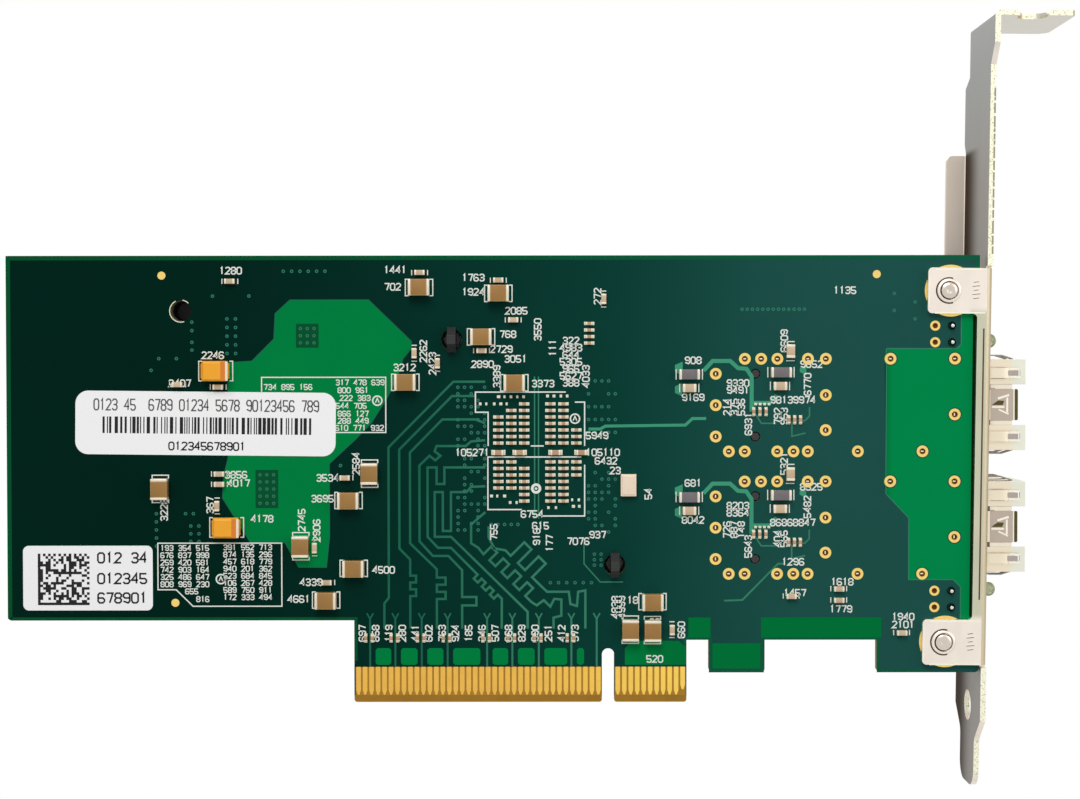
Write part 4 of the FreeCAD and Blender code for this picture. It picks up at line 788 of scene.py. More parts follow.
@dataclass
class Studio:
    """Pale floor, white surroundings, soft lamps and the camera."""

    floor_span: float = 6000.0
    ambient: float = 0.42
    key_power: float = 3.4
    fill_power: float = 1.1
    eye: Point3 = (-10.05, -310.785, 53.63)
    pitch: float = -0.02218
    roll: float = 0.00095
    yaw: float = 0.00133
    lens: float = 67.17

    def floor(self) -> None:
        """Lays the floor just under the card's lowest point."""
        low = min(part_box(node)[0].z for node in ("bracket", "circuit_board"))
        form = Form()
        half = self.floor_span / 2
        form.slab(circle(0, 0, half, 48), 0, 1)
        form.mesh.transform(Matrix.Rotation(math.radians(90), 4, "X"))
        form.mesh.transform(Matrix.Translation((0, 0, low / MM - 1.2)) @ Matrix.Scale(MM, 4))
        data = bpy.data.meshes.new("floor")
        form.mesh.to_mesh(data)
        form.mesh.free()
        floor = bpy.data.objects.new("floor", data)
        bpy.context.scene.collection.objects.link(floor)
        data.materials.append(self.floor_paint())

    def floor_paint(self) -> bpy.types.Material:
        """White paint that shows the card's shadow and otherwise meets the white surroundings.

        Returns:
            The material.
        """
        made = bpy.data.materials.new("floor_paint")
        made.use_nodes = True
        made.node_tree.nodes.clear()
        wiring = Wiring(made.node_tree)
        shader = wiring.add("BsdfPrincipled", Roughness=0.9, Specular_IOR_Level=0.0,
                            Emission_Color=(1, 1, 1, 1))
        grain = wiring.add("Group", node_tree=Effects.grain(), Colour=(0.86, 0.86, 0.86, 1),
                           Stretch=(1, 1, 1), Scale=3.0, Spread=0.01, Roughness=0.9)
        wiring.join(grain.outputs["Colour"], shader.inputs["Base Color"])
        wiring.join(self.white_rays(wiring, 0.0, 0.3), shader.inputs["Emission Strength"])
        sink = wiring.add("OutputMaterial")
        wiring.join(shader.outputs["BSDF"], sink.inputs["Surface"])
        return made

    def white_rays(self, wiring: Wiring, plain: float, seen: float) -> bpy.types.NodeSocket:
        """Strength that differs for rays from the camera, from gloss and through glass.

        Args:
            wiring: Wiring of the material or the world.
            plain: Strength for the other rays.
            seen: Strength for those rays.

        Returns:
            The strength.
        """
        path = wiring.add("LightPath")
        share = wiring.sum("MAXIMUM", path.outputs["Is Camera Ray"], path.outputs["Is Glossy Ray"])
        share = wiring.sum("MAXIMUM", share, path.outputs["Is Transmission Ray"])
        return wiring.sum("MULTIPLY_ADD", share, seen - plain, plain)

    def world(self) -> None:
        """White surroundings, dimmer for the light that they throw on the card."""
        world = bpy.data.worlds.new("studio")
        world.use_nodes = True
        world.node_tree.nodes.clear()
        wiring = Wiring(world.node_tree)
        back = wiring.add("Background", Color=(1, 1, 1, 1))
        wiring.join(self.white_rays(wiring, self.ambient, 1.0), back.inputs["Strength"])
        sink = wiring.add("OutputWorld")
        wiring.join(back.outputs["Background"], sink.inputs["Surface"])
        bpy.context.scene.world = world

    def lamp(self, name: str, spot: Point3, size: float, power: float) -> None:
        """Hangs a square lamp that faces the card's middle.

        Args:
            name: Lamp name.
            spot: Its place.
            size: Side of its panel.
            power: Its power in watts.
        """
        data = bpy.data.lights.new(name, "AREA")
        data.size = size * MM
        data.energy = power
        made = bpy.data.objects.new(name, data)
        made.location = Vector(spot) * MM
        aim = Vector((-15, 0, 40)) * MM - made.location
        made.rotation_euler = aim.to_track_quat("-Z", "Y").to_euler()
        bpy.context.scene.collection.objects.link(made)

    def camera(self) -> None:
        """Sets the camera square to the solder side."""
        data = bpy.data.cameras.new("camera")
        data.lens = self.lens
        data.sensor_width = 36.0
        data.clip_start = 0.01
        data.clip_end = 50.0
        made = bpy.data.objects.new("camera", data)
        turn = (Matrix.Rotation(self.yaw, 3, "Z") @ Matrix.Rotation(self.pitch, 3, "X")
                @ Matrix.Rotation(self.roll, 3, "Y"))
        aim = turn @ Matrix.Rotation(math.radians(90), 3, "X")
        made.matrix_world = Matrix.Translation(Vector(self.eye) * MM) @ aim.to_4x4()
        bpy.context.scene.collection.objects.link(made)
        bpy.context.scene.camera = made

    def build(self) -> None:
        """Builds the whole studio."""
        self.floor()
        self.world()
        self.lamp("key_lamp", (-120, -560, 620), 420, self.key_power)
        self.lamp("fill_lamp", (620, -420, 260), 500, self.fill_power)
        self.lamp("back_lamp", (-100, 620, 420), 500, self.fill_power)
        self.camera()
        view = bpy.context.scene.view_settings
        view.view_transform = "Standard"
        log.info("studio set")


@dataclass
class Board:
    """Circuit board and its gold contacts."""

    thickness: float = 1.57
    height: float = 68.9
    rear: float = 92.6
    front: float = 57.15
    rear_step: float = 12.7
    tongue_rear: float = 39.15
    tongue_front: float = 12.1
    recess: float = 9.65
    foot: float = 4.6
    foot_length: float = 8.6
    foot_gap: float = 3.45
    bracket_end: float = 15.7
    key: float = 1.9
    key_depth: float = 8.35
    corner: float = 0.6
    bevel: float = 1.1
    bevel_depth: float = 0.4
    contact_pitch: float = 1.0
    contact_width: float = 0.7
    contact_top: float = 5.5
    contact_tip: float = 1.2
    sense_tip: float = 2.0
    contact_lift: float = 0.04
    rear_hole: tuple[float, float, float] = (-65.7, 60.4, 1.6)
    ports: tuple[float, float] = (26.967, 45.853)
    cage_rear: float = 16.45

    def face(self, side: Side) -> float:
        """Depth of one face of the board."""
        return side.value * self.thickness / 2

    def outline(self) -> list[tuple[float, float, float]]:
        """Corners of the board with the radius of each.

        Returns:
            (x, z, radius) corners in order.
        """
        r = self.corner
        half = self.key / 2
        foot_start = self.tongue_front + self.foot_gap
        foot_stop = foot_start + self.foot_length
        end_start = self.front - self.bracket_end
        return [(-self.rear, self.rear_step, r), (-self.tongue_rear, self.rear_step, 0),
                (-self.tongue_rear, self.bevel, 0), (-half, self.bevel, 0),
                (-half, self.key_depth, half * 0.98),
                (half, self.key_depth, half * 0.98), (half, self.bevel, 0),
                (self.tongue_front, self.bevel, 0),
                (self.tongue_front, self.recess, 0), (foot_start, self.recess, 0),
                (foot_start, self.foot, r), (foot_stop, self.foot, r), (foot_stop, self.recess, 0),
                (end_start, self.recess, 0), (end_start, self.foot, r), (self.front, self.foot, r),
                (self.front, self.height, r), (-self.rear, self.height, r)]

    def pin_spots(self, port: float) -> list[Point]:
        """Places of one cage's pins, as the cage has them.

        Args:
            port: Height of the port's middle.

        Returns:
            (x, z) of each pin.
        """
        row = 7.125
        spots = [(self.cage_rear + x, port + row) for x in (4.6, 7.1, 9.6, 14.3, 17.05, 27.0, 36.9)]
        spots += [(self.cage_rear + x, port - row) for x in (2.15, 4.6, 9.6, 12.1, 14.3, 22.0, 31.95)]
        spots += [(self.cage_rear + 0.125, port + n * 4.83) for n in (-1, 0, 1)]
        floor = ((17.05, 1.55), (17.05, -3.85), (36.9, -1.45))
        return spots + [(self.cage_rear + x, port + z) for x, z in floor]

    def peg_spots(self, port: float) -> list[Point]:
        """Places of one connector's two pegs."""
        return [(self.cage_rear + 6.25, port + side * 4.85) for side in (-1, 1)]

    def lamp_spots(self) -> list[tuple[float, float, bool]]:
        """Places of the lamp leads and of the spare holes beside them.

        Returns:
            (x, z, whether a lead is soldered there).
        """
        spots = []
        for node in ("lamp_holder_lower", "lamp_holder_upper"):
            low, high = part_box(node)
            middle = (low.z + high.z) / 2 / MM
            for x, soldered in ((52.85, True), (50.3, False)):
                spots += [(x, middle + side * 1.27, soldered) for side in (-1, 1)]
        return spots

    def drills(self) -> list[tuple[float, float, float]]:
        """Every hole through the board.

        Returns:
            (x, z, radius) of each.
        """
        holes = [self.rear_hole]
        for node, radius in (("bracket_screw_lower", 1.55), ("bracket_screw_upper", 1.55),
                             ("push_pin_lower", 1.65), ("push_pin_upper", 1.65)):
            low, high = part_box(node)
            middle = (low + high) / 2 / MM
            holes.append((middle.x, middle.z, radius))
        for port in self.ports:
            holes += [(x, z, 0.5) for x, z in self.pin_spots(port)]
            holes += [(x, z, 0.78) for x, z in self.peg_spots(port)]
        return holes + [(x, z, 0.45) for x, z, _ in self.lamp_spots()]

    def laminate(self) -> None:
        """Board with its holes, masked on both faces, and a bevelled contact edge."""
        form = Form()
        outline = rounded(self.outline())
        holes = [circle(x, z, r, 40 if r > 1.2 else 20) for x, z, r in self.drills()]
        half = self.thickness / 2
        form.slab(outline, -half, half, holes, edge_paint=1)
        form.paint = 3
        for left, right in ((-self.tongue_rear, -self.key / 2), (self.key / 2, self.tongue_front)):
            form.slab(rounded([(left, self.bevel, 0), (left, 0, 0.4), (right, 0, 0.4),
                               (right, self.bevel, 0)]),
                      -half, half)
        for vert in form.mesh.verts:
            if vert.co.z < self.bevel:
                vert.co.y *= 1 - self.bevel_depth / half * (self.bevel - vert.co.z) / self.bevel
        made = form.piece("board_laminate", [MASK, LAMINATE, MASK_BACK, AMBER], "board", ("circuit_board",),
                          smooth=20)
        for polygon in made.data.polygons:
            if polygon.material_index == 0 and polygon.normal.y > 0.5:
                polygon.material_index = 2

    def contacts(self, side: Side) -> None:
        """Gold contacts of one face.

        Args:
            side: Face of the board.
        """
        form = Form()
        near = self.face(side)
        far = near + side.value * self.contact_lift
        half = self.contact_width / 2
        rear = int((self.tongue_rear - 1.5) / self.contact_pitch)
        front = int((self.tongue_front - 1.5) / self.contact_pitch)
        places = [-1.5 - n * self.contact_pitch for n in range(rear + 1)]
        places += [1.5 + n * self.contact_pitch for n in range(front + 1)]
        for x in places:
            tip = self.sense_tip if x == places[-1] else self.contact_tip
            form.slab([(x - half, self.contact_top), (x - half, tip + 0.7), (x - 0.12, tip), (x + 0.12, tip),
                       (x + half, tip + 0.7), (x + half, self.contact_top)], near, far)
        name = "solder_side" if side is Side.SOLDER else "component_side"
        bare = Form()
        start = 1.5  # key notch to the first contact
        for first, last in ((-start - rear * self.contact_pitch, -start),
                            (start, start + front * self.contact_pitch)):
            left, right = first - half - 0.12, last + half + 0.12
            bare.slab([(left, self.bevel), (right, self.bevel), (right, self.contact_top - 0.05),
                       (left, self.contact_top - 0.05)], near, near + side.value * self.contact_lift * 0.4)
        bare.piece(f"bare_edge_{name}", [AMBER], "board")
        form.piece(f"contacts_{name}", [GOLD], "gold", (f"edge_contacts_{name}",))

    def build(self) -> None:
        """Builds the board and its contacts."""
        self.laminate()
        for side in Side:
            self.contacts(side)


@dataclass
class SlotBracket:
    """Bracket and its two screws."""

    rounding: float = 0.12
    near_face: float = -1.645
    lean: float = 0.75  # degrees off square
    boss_radius: float = 1.87
    boss_height: float = 0.32
    fold_line: float = 56.83  # groove of the fold at the board's lower edge
    outer_face: float = 58.17  # outer face of the sheet at the board's lower edge

    def sheet(self) -> None:
        """Bent sheet with rounded corners, a finish for each way its faces look."""
        form = Form.of("bracket")
        # The inner faces and the fold's curve get darker copies of the steel: painted shade.
        form.repaint(1, lambda spot, way: way.x < -0.9 and spot.y > -1.0)
        form.repaint(2, lambda spot, way: way.y < -0.9 and spot.y > 15)
        form.repaint(2, lambda spot, way: way.x < -0.9 and spot.y > 15.5)
        form.repaint(3, lambda spot, way: way.x > 0.1 and way.y < -0.1 and spot.y < 0)
        form.repaint(4, lambda spot, way: way.y < -0.9 and spot.x > 57.2 and not 2 < spot.z < 66)
        form.piece("bracket_sheet", [BRACKET_STEEL, INNER_STEEL, FLANGE_STEEL, FOLD_STEEL, CUT_STEEL],
                   "bracket_steel", ("bracket",), rounding=self.rounding)

    def leaning(self, x: float, z: float) -> Point:
        """Point moved by the bracket's lean about the board's lower edge."""
        return (x + z * math.tan(math.radians(self.lean)), z)

    def fold_marks(self) -> None:
        """Groove along the fold strip and the press marks beside each tab's fold, with painted highlights
        beside the marks and along the tabs' edges, and painted shade along the sheet's cut edge.
        """
        near, far = self.near_face - FILM, self.near_face + EMBED
        groove = Form()
        groove.ribbon([self.leaning(self.fold_line, 15.9), self.leaning(self.fold_line, 57.6)], 0.24,
                      near, far)
        bright = Form()
        for screw in ("lower", "upper"):
            low, high = (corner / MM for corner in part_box(f"bracket_screw_{screw}"))
            x, z = (low.x + high.x) / 2 + 4.15, (low.z + high.z) / 2
            # Each press mark gets a painted highlight just above it.
            for form, shift in ((groove, 0.0), (bright, 0.16)):
                for n, reach in enumerate((0.9, 1.2, 0.7, 1.1, 0.8)):
                    rise = (n - 2) * 0.62 + shift
                    form.ribbon([(x - reach / 2, z + rise), (x + reach / 2, z + rise + 0.1)], 0.1, near, far)
        chance = random.Random(11)
        shade = Form()
        for start, stop in ((69.0, 94.4), (100.3, 104.6)):
            z = start
            while z < stop:
                step = chance.uniform(0.5, 2.6)
                x, _ = self.leaning(self.outer_face - 0.2, z)
                shade.ribbon([(x, z), (x + 0.01, min(stop, z + step * 0.8))], 0.26, near, far)
                z += step
        shade.piece("cut_edge_shades", [EDGE_SHADE], "bracket_steel")
        # Painted highlights along each tab's upper and lower edges and its rear edge.
        for top, base in ((66.83, 59.85), (12.76, 5.8)):
            for z in (top - 0.16, base + 0.16):
                bright.ribbon([self.leaning(49.3, z), self.leaning(57.0, z)], 0.24, near, far)
            bright.ribbon([self.leaning(48.44, base + 1.0), self.leaning(48.44, top - 1.0)], 0.16, near, far)
        groove.piece("fold_groove", [FOLD_GROOVE], "bracket_steel")
        bright.piece("fold_painted_highlights", [PAINTED_HIGHLIGHT], "bracket_steel")

    def bosses(self) -> None:
        """Raised rim of each tapped hole, with painted shade in a crescent on the left, outside the rim and
        inside its hole.
        """
        face = self.near_face
        top = face - self.boss_height
        rims, shade_arcs = Form(), Form()
        for screw in ("lower", "upper"):
            low, high = (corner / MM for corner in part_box(f"bracket_screw_{screw}"))
            x, z = (low.x + high.x) / 2, (low.z + high.z) / 2
            outer = self.boss_radius
            rims.turned([(outer + 0.02, face + 0.02), (outer - 0.06, top + 0.1), (outer - 0.18, top),
                         (outer - 0.42, top), (outer - 0.52, top + 0.12), (1.3, top + 0.2),
                         (1.25, face + 0.02)],
                        x, z, 40)
            shade_arcs.ribbon(circle(x, z, outer + 0.1, 40)[8:33], 0.17, face - FILM, face + EMBED)
            shade_arcs.ribbon(circle(x, z, 1.3, 40)[9:32], 0.16, top + 0.02, top + 0.2)
        rims.piece("tapped_bosses", [BRACKET_STEEL], "bracket_steel", smooth=50)
        shade_arcs.piece("boss_painted_shades", [BOSS_SHADE], "bracket_steel")

    def screw(self, name: str) -> None:
        """Screw with a threaded end that stands in its tapped boss.

        Args:
            name: Which screw.
        """
        node = f"bracket_screw_{name}"
        low, high = (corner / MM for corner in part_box(node))
        x, z = (low.x + high.x) / 2, (low.z + high.z) / 2
        form = Form()
        top = low.y
        thread = [(0, top + 0.25), (0.35, top + 0.12), (0.8, top + 0.05), (1.0, top + 0.12)]
        y = top + 0.2
        while y < 0.6:
            thread += [(1.2, y), (1.04, y + 0.2)]
            y += 0.4
        head = high.y
        thread += [(1.2, head - 1.7), (2.35, head - 1.7), (2.5, head - 1.5), (2.5, head - 0.6),
                   (2.1, head - 0.15), (1.5, head), (0, head)]
        form.turned(thread, x, z, 36)
        form.piece(node + "_steel", [SCREW_STEEL], "screw_steel", (node,), smooth=40)

    def build(self) -> None:
        """Builds the bracket and both screws."""
        self.sheet()
        self.fold_marks()
        self.bosses()
        for name in ("lower", "upper"):
            self.screw(name)


@dataclass
class Ports:
    """Cages with their springs, connectors and lamps."""

    rounding: float = 0.06
    heights: tuple[float, float] = (26.967, 45.853)
    bottom: float = 0.885  # outer face of a cage's floor
    latch_end: float = 63.45
    latch_half: float = 2.42
    finger_face: float = 0.32  # outer face of the bowed fingers under the nose
    nose_start: float = 59.2

    def cage(self, name: str) -> None:
        """Cage whose inner faces get a darker, duller copy of its metal: painted shade inside it.

        Args:
            name: Which port.
        """
        form = Form.of(f"port_cage_{name}")
        box = Box(*(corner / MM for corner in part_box(f"port_cage_{name}")))
        middle = box.middle
        form.repaint(1, lambda spot, way: abs(spot.y - middle.y) < 4.9 and (middle - spot).dot(way) > 0.3)
        form.repaint(1, lambda spot, way: way.y < -0.9 and spot.y > middle.y)
        form.piece(f"port_cage_{name}_shell", [CAGE_METAL, CAGE_INSIDE_SHADE], "cage_metal", (f"port_cage_{name}",),
                   rounding=self.rounding)

    def springs(self, name: str) -> None:
        """Bowed contact fingers round the nose, bright under it and dull at its sides.

        Args:
            name: Which port.
        """
        form = Form.of(f"cage_springs_{name}")
        form.mesh.normal_update()
        for vert in form.mesh.verts:
            vert.co += vert.normal * 0.05
        form.repaint(1, lambda spot, way: spot.y < 0.9)
        form.piece(f"cage_springs_{name}_fingers", [SPRING_METAL, CAGE_METAL], "spring_metal",
                   (f"cage_springs_{name}",), smooth=60)

    def nose_marks(self) -> None:
        """Latch plate on the underside of each nose, with painted shade at its end, in its triangle, in the
        slits and in the finger pockets, and painted highlights along edges.
        """
        near, far = self.bottom - 0.014, self.bottom + EMBED
        low_near, low_far = self.finger_face - 0.014, self.finger_face
        plate, dark, bright, pocket, gap = Form(), Form(), Form(), Form(), Form()
        start, end, half = self.nose_start, self.latch_end, self.latch_half
        for port in self.heights:
            plate.slab([(start, port - half), (end - 0.55, port - half), (end - 0.55, port + half),
                        (start, port + half)], near, far)
            dark.slab(rounded([(end - 0.5, port - half, 0.15), (end, port - half, 0.25),
                               (end, port + half, 0.25), (end - 0.5, port + half, 0.15)]), near, far)
            bright.ribbon([(end - 0.62, port - half), (end - 0.62, port + half)], 0.16, near - STEP, far)
            dark.slab([(59.4, port - 0.05), (60.4, port + 0.66), (61.35, port + 0.6), (61.1, port - 0.05)],
                      near - 0.02, far)
            bright.ribbon([(59.4, port - 0.35), (61.35, port - 0.35)], 0.3, near - 0.02, far)
            bright.ribbon([(60.35, port + 0.95), (62.1, port + 1.5)], 0.34, near - 0.02, far)
            bright.ribbon([(60.5, port - 0.75), (62.0, port - 1.45)], 0.24, near - 0.02, far)
            bright.ribbon([(61.8, port + 1.1), (61.8, port - 1.2)], 0.3, near - 0.02, far)
            for side in (-1, 1):
                height = port + side * 4.9
                pocket.slab([(61.6, height - 0.4), (63.4, height - 0.4), (63.4, height + 0.4),
                             (61.6, height + 0.4)], low_near, low_far)
                for rise in (-0.62, 0.62):
                    bright.ribbon([(62.0, height + rise), (63.7, height + rise)], 0.3, low_near, low_far)
                gap.slab([(start, port + side * 2.44), (62.6, port + side * 2.44),
                          (62.6, port + side * 3.14), (start, port + side * 3.14)], 0.99, 1.02)
            dark.ribbon([(start, port + 4.14), (61.3, port + 4.14)], 0.17, low_near, low_far)
            pocket.ribbon([(start, port + 5.66), (61.3, port + 5.72)], 0.12, low_near, low_far)
            pocket.ribbon([(start, port - 5.6), (61.3, port - 5.62)], 0.2, low_near, low_far)
            pocket.ribbon([(start, port + 2.5), (59.9, port + 2.5)], 0.12, 0.97, 0.99)
            bright.ribbon([(start, port - 4.3), (61.3, port - 4.3)], 0.22, low_near, low_far)
        gap.piece("latch_gaps", [GAP_METAL], "cage_metal")
        plate.piece("latch_plates", [LATCH_METAL], "cage_metal")
        dark.piece("latch_shades", [LATCH_SHADE], "cage_metal")
        bright.piece("nose_painted_highlights", [PAINTED_HIGHLIGHT], "cage_metal")
        pocket.piece("finger_pocket_shades", [POCKET_SHADE], "cage_metal")

    def dress(self, node: str, finish: Finish, slot: str, rounding: float | None = None) -> None:
        """Rounds and finishes one solid of the frame.

        Args:
            node: Its name.
            finish: Its finish.
            slot: Material slot of the record.
            rounding: Radius of its corners, if not the usual one.
        """
        Form.of(node).piece(node + "_shell", [finish], slot, (node,),
                            rounding=self.rounding if rounding is None else rounding)

    def lens(self, name: str) -> None:
        """Clear light pipe with a domed front.

        Args:
            name: Which lamp.
        """
        node = f"lamp_lens_{name}"
        low, high = (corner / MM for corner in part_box(node))
        middle = (low + high) / 2
        radius = (high.z - low.z) / 2
        form = Form()
        profile = [(0, 0), (radius, 0), (radius, high.x - low.x - 1.0)]
        profile += [(radius * math.cos(t), high.x - low.x - 1.0 + math.sin(t))
                    for t in (math.radians(step * 15) for step in range(1, 6))]
        form.turned([*profile, (0, high.x - low.x)], 0, 0, 28)
        form.mesh.transform(Matrix.Translation((low.x, middle.y, middle.z))
                            @ Matrix.Rotation(math.radians(-90), 4, "Z"))
        form.piece(node + "_clear", [LENS], "lens_plastic", (node,))

    def build(self) -> None:
        """Builds both ports."""
        for name in ("lower", "upper"):
            self.cage(name)
            self.springs(name)
            self.dress(f"port_connector_{name}", CONNECTOR_BLACK, "black_plastic")
            self.dress(f"connector_leads_{name}", TIN, "tinned_copper", 0.03)
            self.dress(f"lamp_holder_{name}", CONNECTOR_BLACK, "black_plastic", 0.15)
            self.lens(name)
        self.dress("lamp_leads", TIN, "tinned_copper", 0.05)
        self.nose_marks()


@dataclass
class Controller:
    """Controller, heat sink and the other parts of the component side."""

    def build(self) -> None:
        """Dresses every solid of the component side."""
        plan = (("controller_package", SUBSTRATE, "package_substrate", 0.05),
                ("controller_lid", LID_METAL, "cage_metal", 0.2),
                ("solder_balls", TIN, "tinned_copper", 0.05),
                ("thermal_pad", THERMAL, "thermal_rubber", 0.08),
                ("heat_sink", SINK, "heat_sink_aluminium", 0.12),
                ("push_pin_lower", PIN_BLACK, "pin_plastic", 0.1),
                ("push_pin_upper", PIN_BLACK, "pin_plastic", 0.1),
                ("push_spring_lower", SPRING_METAL, "spring_metal", 0.0),
                ("push_spring_upper", SPRING_METAL, "spring_metal", 0.0),
                ("power_inductor_lower", FERRITE, "ferrite_grey", 0.3),
                ("power_inductor_upper", FERRITE, "ferrite_grey", 0.3),
                ("regulator_lower", CHIP_BLACK, "chip_black", 0.06),
                ("regulator_upper", CHIP_BLACK, "chip_black", 0.06),
                ("memory_chip", CHIP_BLACK, "chip_black", 0.06),
                ("rear_spacer", CONNECTOR_BLACK, "black_plastic", 0.1))
        for node, finish, slot, rounding in plan:
            Form.of(node).piece(node + "_dressed", [finish], slot, (node,), rounding=rounding)


class Body(Enum):
    """What the middle of a chip part is made of."""

    TAN = 0
    BROWN = 1
    DARK = 2
    CREAM = 3
    PINK = 6


@dataclass
class ChipParts:
    """Soldered chip capacitors, beads and resistors, each built on its solid of the frame."""

    terminal_share: float = 0.22
    widest_terminal: float = 0.48
    face: float = -0.785

    def chip(self, form: Form, box: Box, body: int) -> None:
        """Adds one chip: body, two end terminals and their solder fillets.

        Args:
            form: Form it joins, whose finishes are bodies 0 to 3, terminal 4 and solder 5.
            box: Its solid.
            body: Finish number of its body.
        """
        size = box.size
        flat = size.x >= size.z
        length = size.x if flat else size.z
        height = size.y
        band = min(self.widest_terminal, length * self.terminal_share)
        axis = 0 if flat else 2
        rounding = min(0.16, height * 0.12)
        low, high = box.low.copy(), box.high.copy()
        inner_low, inner_high = low.copy(), high.copy()
        inner_low[axis] += band * 0.5
        inner_high[axis] -= band * 0.5
        for n in (0, 1, 2):
            if n != axis:
                inner_low[n] += height * 0.02
                inner_high[n] -= height * 0.02
        form.paint = body
        form.box(inner_low, inner_high, rounding * 0.6)
        for end in (-1, 1):
            cap_low, cap_high = low.copy(), high.copy()
            if end < 0:
                cap_high[axis] = low[axis] + band
            else:
                cap_low[axis] = high[axis] - band
            form.paint = 4
            form.box(cap_low, cap_high, rounding)

    def group(self, name: str, nodes: tuple[str, ...], slot: str, body: Body) -> None:
        """Builds the chips of some nodes as one piece.

        Args:
            name: Piece name.
            nodes: Nodes whose solids they stand for.
            slot: Material slot of the record.
            body: What their bodies are made of.
        """
        form = Form()
        for node in nodes:
            for box in solids(node):
                self.chip(form, box, body.value)
        form.piece(name, [CERAMIC, CERAMIC_DARK, BEAD, CREAM, TERMINAL, SOLDER, CERAMIC_PINK], slot,
                   nodes)

    def build(self) -> None:
        """Builds every chip part of the solder side."""
        self.group("bulk_ceramics", ("bulk_capacitors",), "ceramic_tan", Body.TAN)
        self.group("small_ceramics", ("small_capacitors",), "ceramic_tan", Body.PINK)
        self.group("filter_ceramics", ("port_filter_capacitors",), "ceramic_tan", Body.PINK)
        self.group("bead_chips", ("ferrite_beads",), "ferrite_grey", Body.DARK)
        self.group("termination_chips", ("termination_resistors",), "ceramic_tan", Body.BROWN)
        self.group("decoupling_ceramics", ("decoupling_capacitors",), "ceramic_tan", Body.BROWN)
        self.group("coupling_ceramics", ("coupling_capacitors",), "ceramic_tan", Body.BROWN)
        Form.of("clock_crystal").piece("crystal_case", [CRYSTAL_LID], "ceramic_cream", ("clock_crystal",),
                                       rounding=0.12)
        for name in ("lower", "upper"):
            node = f"tantalum_capacitor_{name}"
            Form.of(node).piece(node + "_case", [TANTALUM], "tantalum_yellow", (node,), rounding=0.1)
        self.bands()
        self.pads()
        self.lamp_solder()

    def pads(self) -> None:
        """Solder pads beyond the ends of the smallest parts, and pairs of pads left empty."""
        form = Form()
        thick = 0.14
        for node in ("decoupling_capacitors", "coupling_capacitors", "termination_resistors"):
            for box in solids(node):
                flat = box.size.x >= box.size.z
                reach = 0.3 if flat else 0.2
                for end in (-1, 1):
                    middle = box.middle.copy()
                    axis = 0 if flat else 2
                    middle[axis] += end * (box.size[axis] + reach) / 2
                    half = (reach / 2, box.size.z / 2) if flat else (box.size.x / 2, reach / 2)
                    form.box((middle.x - half[0], self.face - thick, middle.z - half[1]),
                             (middle.x + half[0], self.face + 0.01, middle.z + half[1]), 0.03)
        chance = random.Random(23)
        for x, z, several in ((-17.2, 47.2, 5), (-19.8, 46.1, 5), (-9.6, 47.3, 4), (-18.2, 31.9, 3),
                              (-15.3, 30.9, 2), (-9.3, 30.1, 2), (-5.6, 31.3, 2), (-5.6, 30.3, 2)):
            for n in range(several):
                left = x + n * 1.02 + chance.uniform(-0.12, 0.12)
                form.box((left, self.face - 0.06, z - 0.24),
                         (left + chance.uniform(0.3, 0.55), self.face + 0.01, z + 0.2), 0.03)
        for port in (45.8, 26.85):
            for n in range(4):
                form.box((22.5 + n * 0.68, self.face - 0.06, port + 0.02),
                         (22.95 + n * 0.68, self.face + 0.01, port + 0.4), 0.03)
        form.piece("pad_solder", [PAD_SOLDER], "tinned_copper")

    def bands(self) -> None:
        """Darker band that marks one end of each tantalum capacitor."""
        form = Form()
        for name in ("lower", "upper"):
            box = Box(*(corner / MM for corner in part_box(f"tantalum_capacitor_{name}")))
            for paint, left, right in ((0, box.high.x - 1.15, box.high.x - 0.42),
                                       (1, box.high.x - 0.42, box.high.x - 0.04)):
                form.paint = paint
                form.slab([(left, box.low.z + 0.1), (right, box.low.z + 0.1), (right, box.high.z - 0.1),
                           (left, box.high.z - 0.1)], box.low.y - 0.006, box.low.y + 0.01)
        form.piece("polarity_bands", [TANTALUM_BAND, TERMINAL], "tantalum_yellow")

    def lamp_solder(self) -> None:
        """Domed solder round each lamp lead, with the cut lead standing in it."""
        form = Form()
        for box in solids("lamp_solder"):
            x, z = box.middle.x, box.middle.z
            base, top = box.high.y, box.low.y
            # Dark teal domes: a painted reflection of the mask, with painted glints on their corners.
            form.paint = 0
            form.turned([(0.66, base), (0.6, base - 0.14), (0.42, base - 0.36), (0.3, base - 0.62),
                         (0.26, top + 0.12)], x, z, 20)
            form.paint = 1
            form.turned([(0.24, top + 0.3), (0.24, top + 0.04), (0.16, top), (0, top)], x, z, 16)
        form.piece("lamp_solder_cones", [SOLDER_PAINTED_REFLECTION, TIN], "tinned_copper", ("lamp_solder",), smooth=60)


STROKES = {"0": "010516364541301001", "1": "152620", "2": "05163645440040",
           "3": "05163645443313 334241301001",
           "4": "30360242", "5": "460603334241301001", "6": "4536160501103041423303", "7": "064620",
           "8": "13040516364544331302011030414233", "9": "43130405163645413001", "-": "1333"}


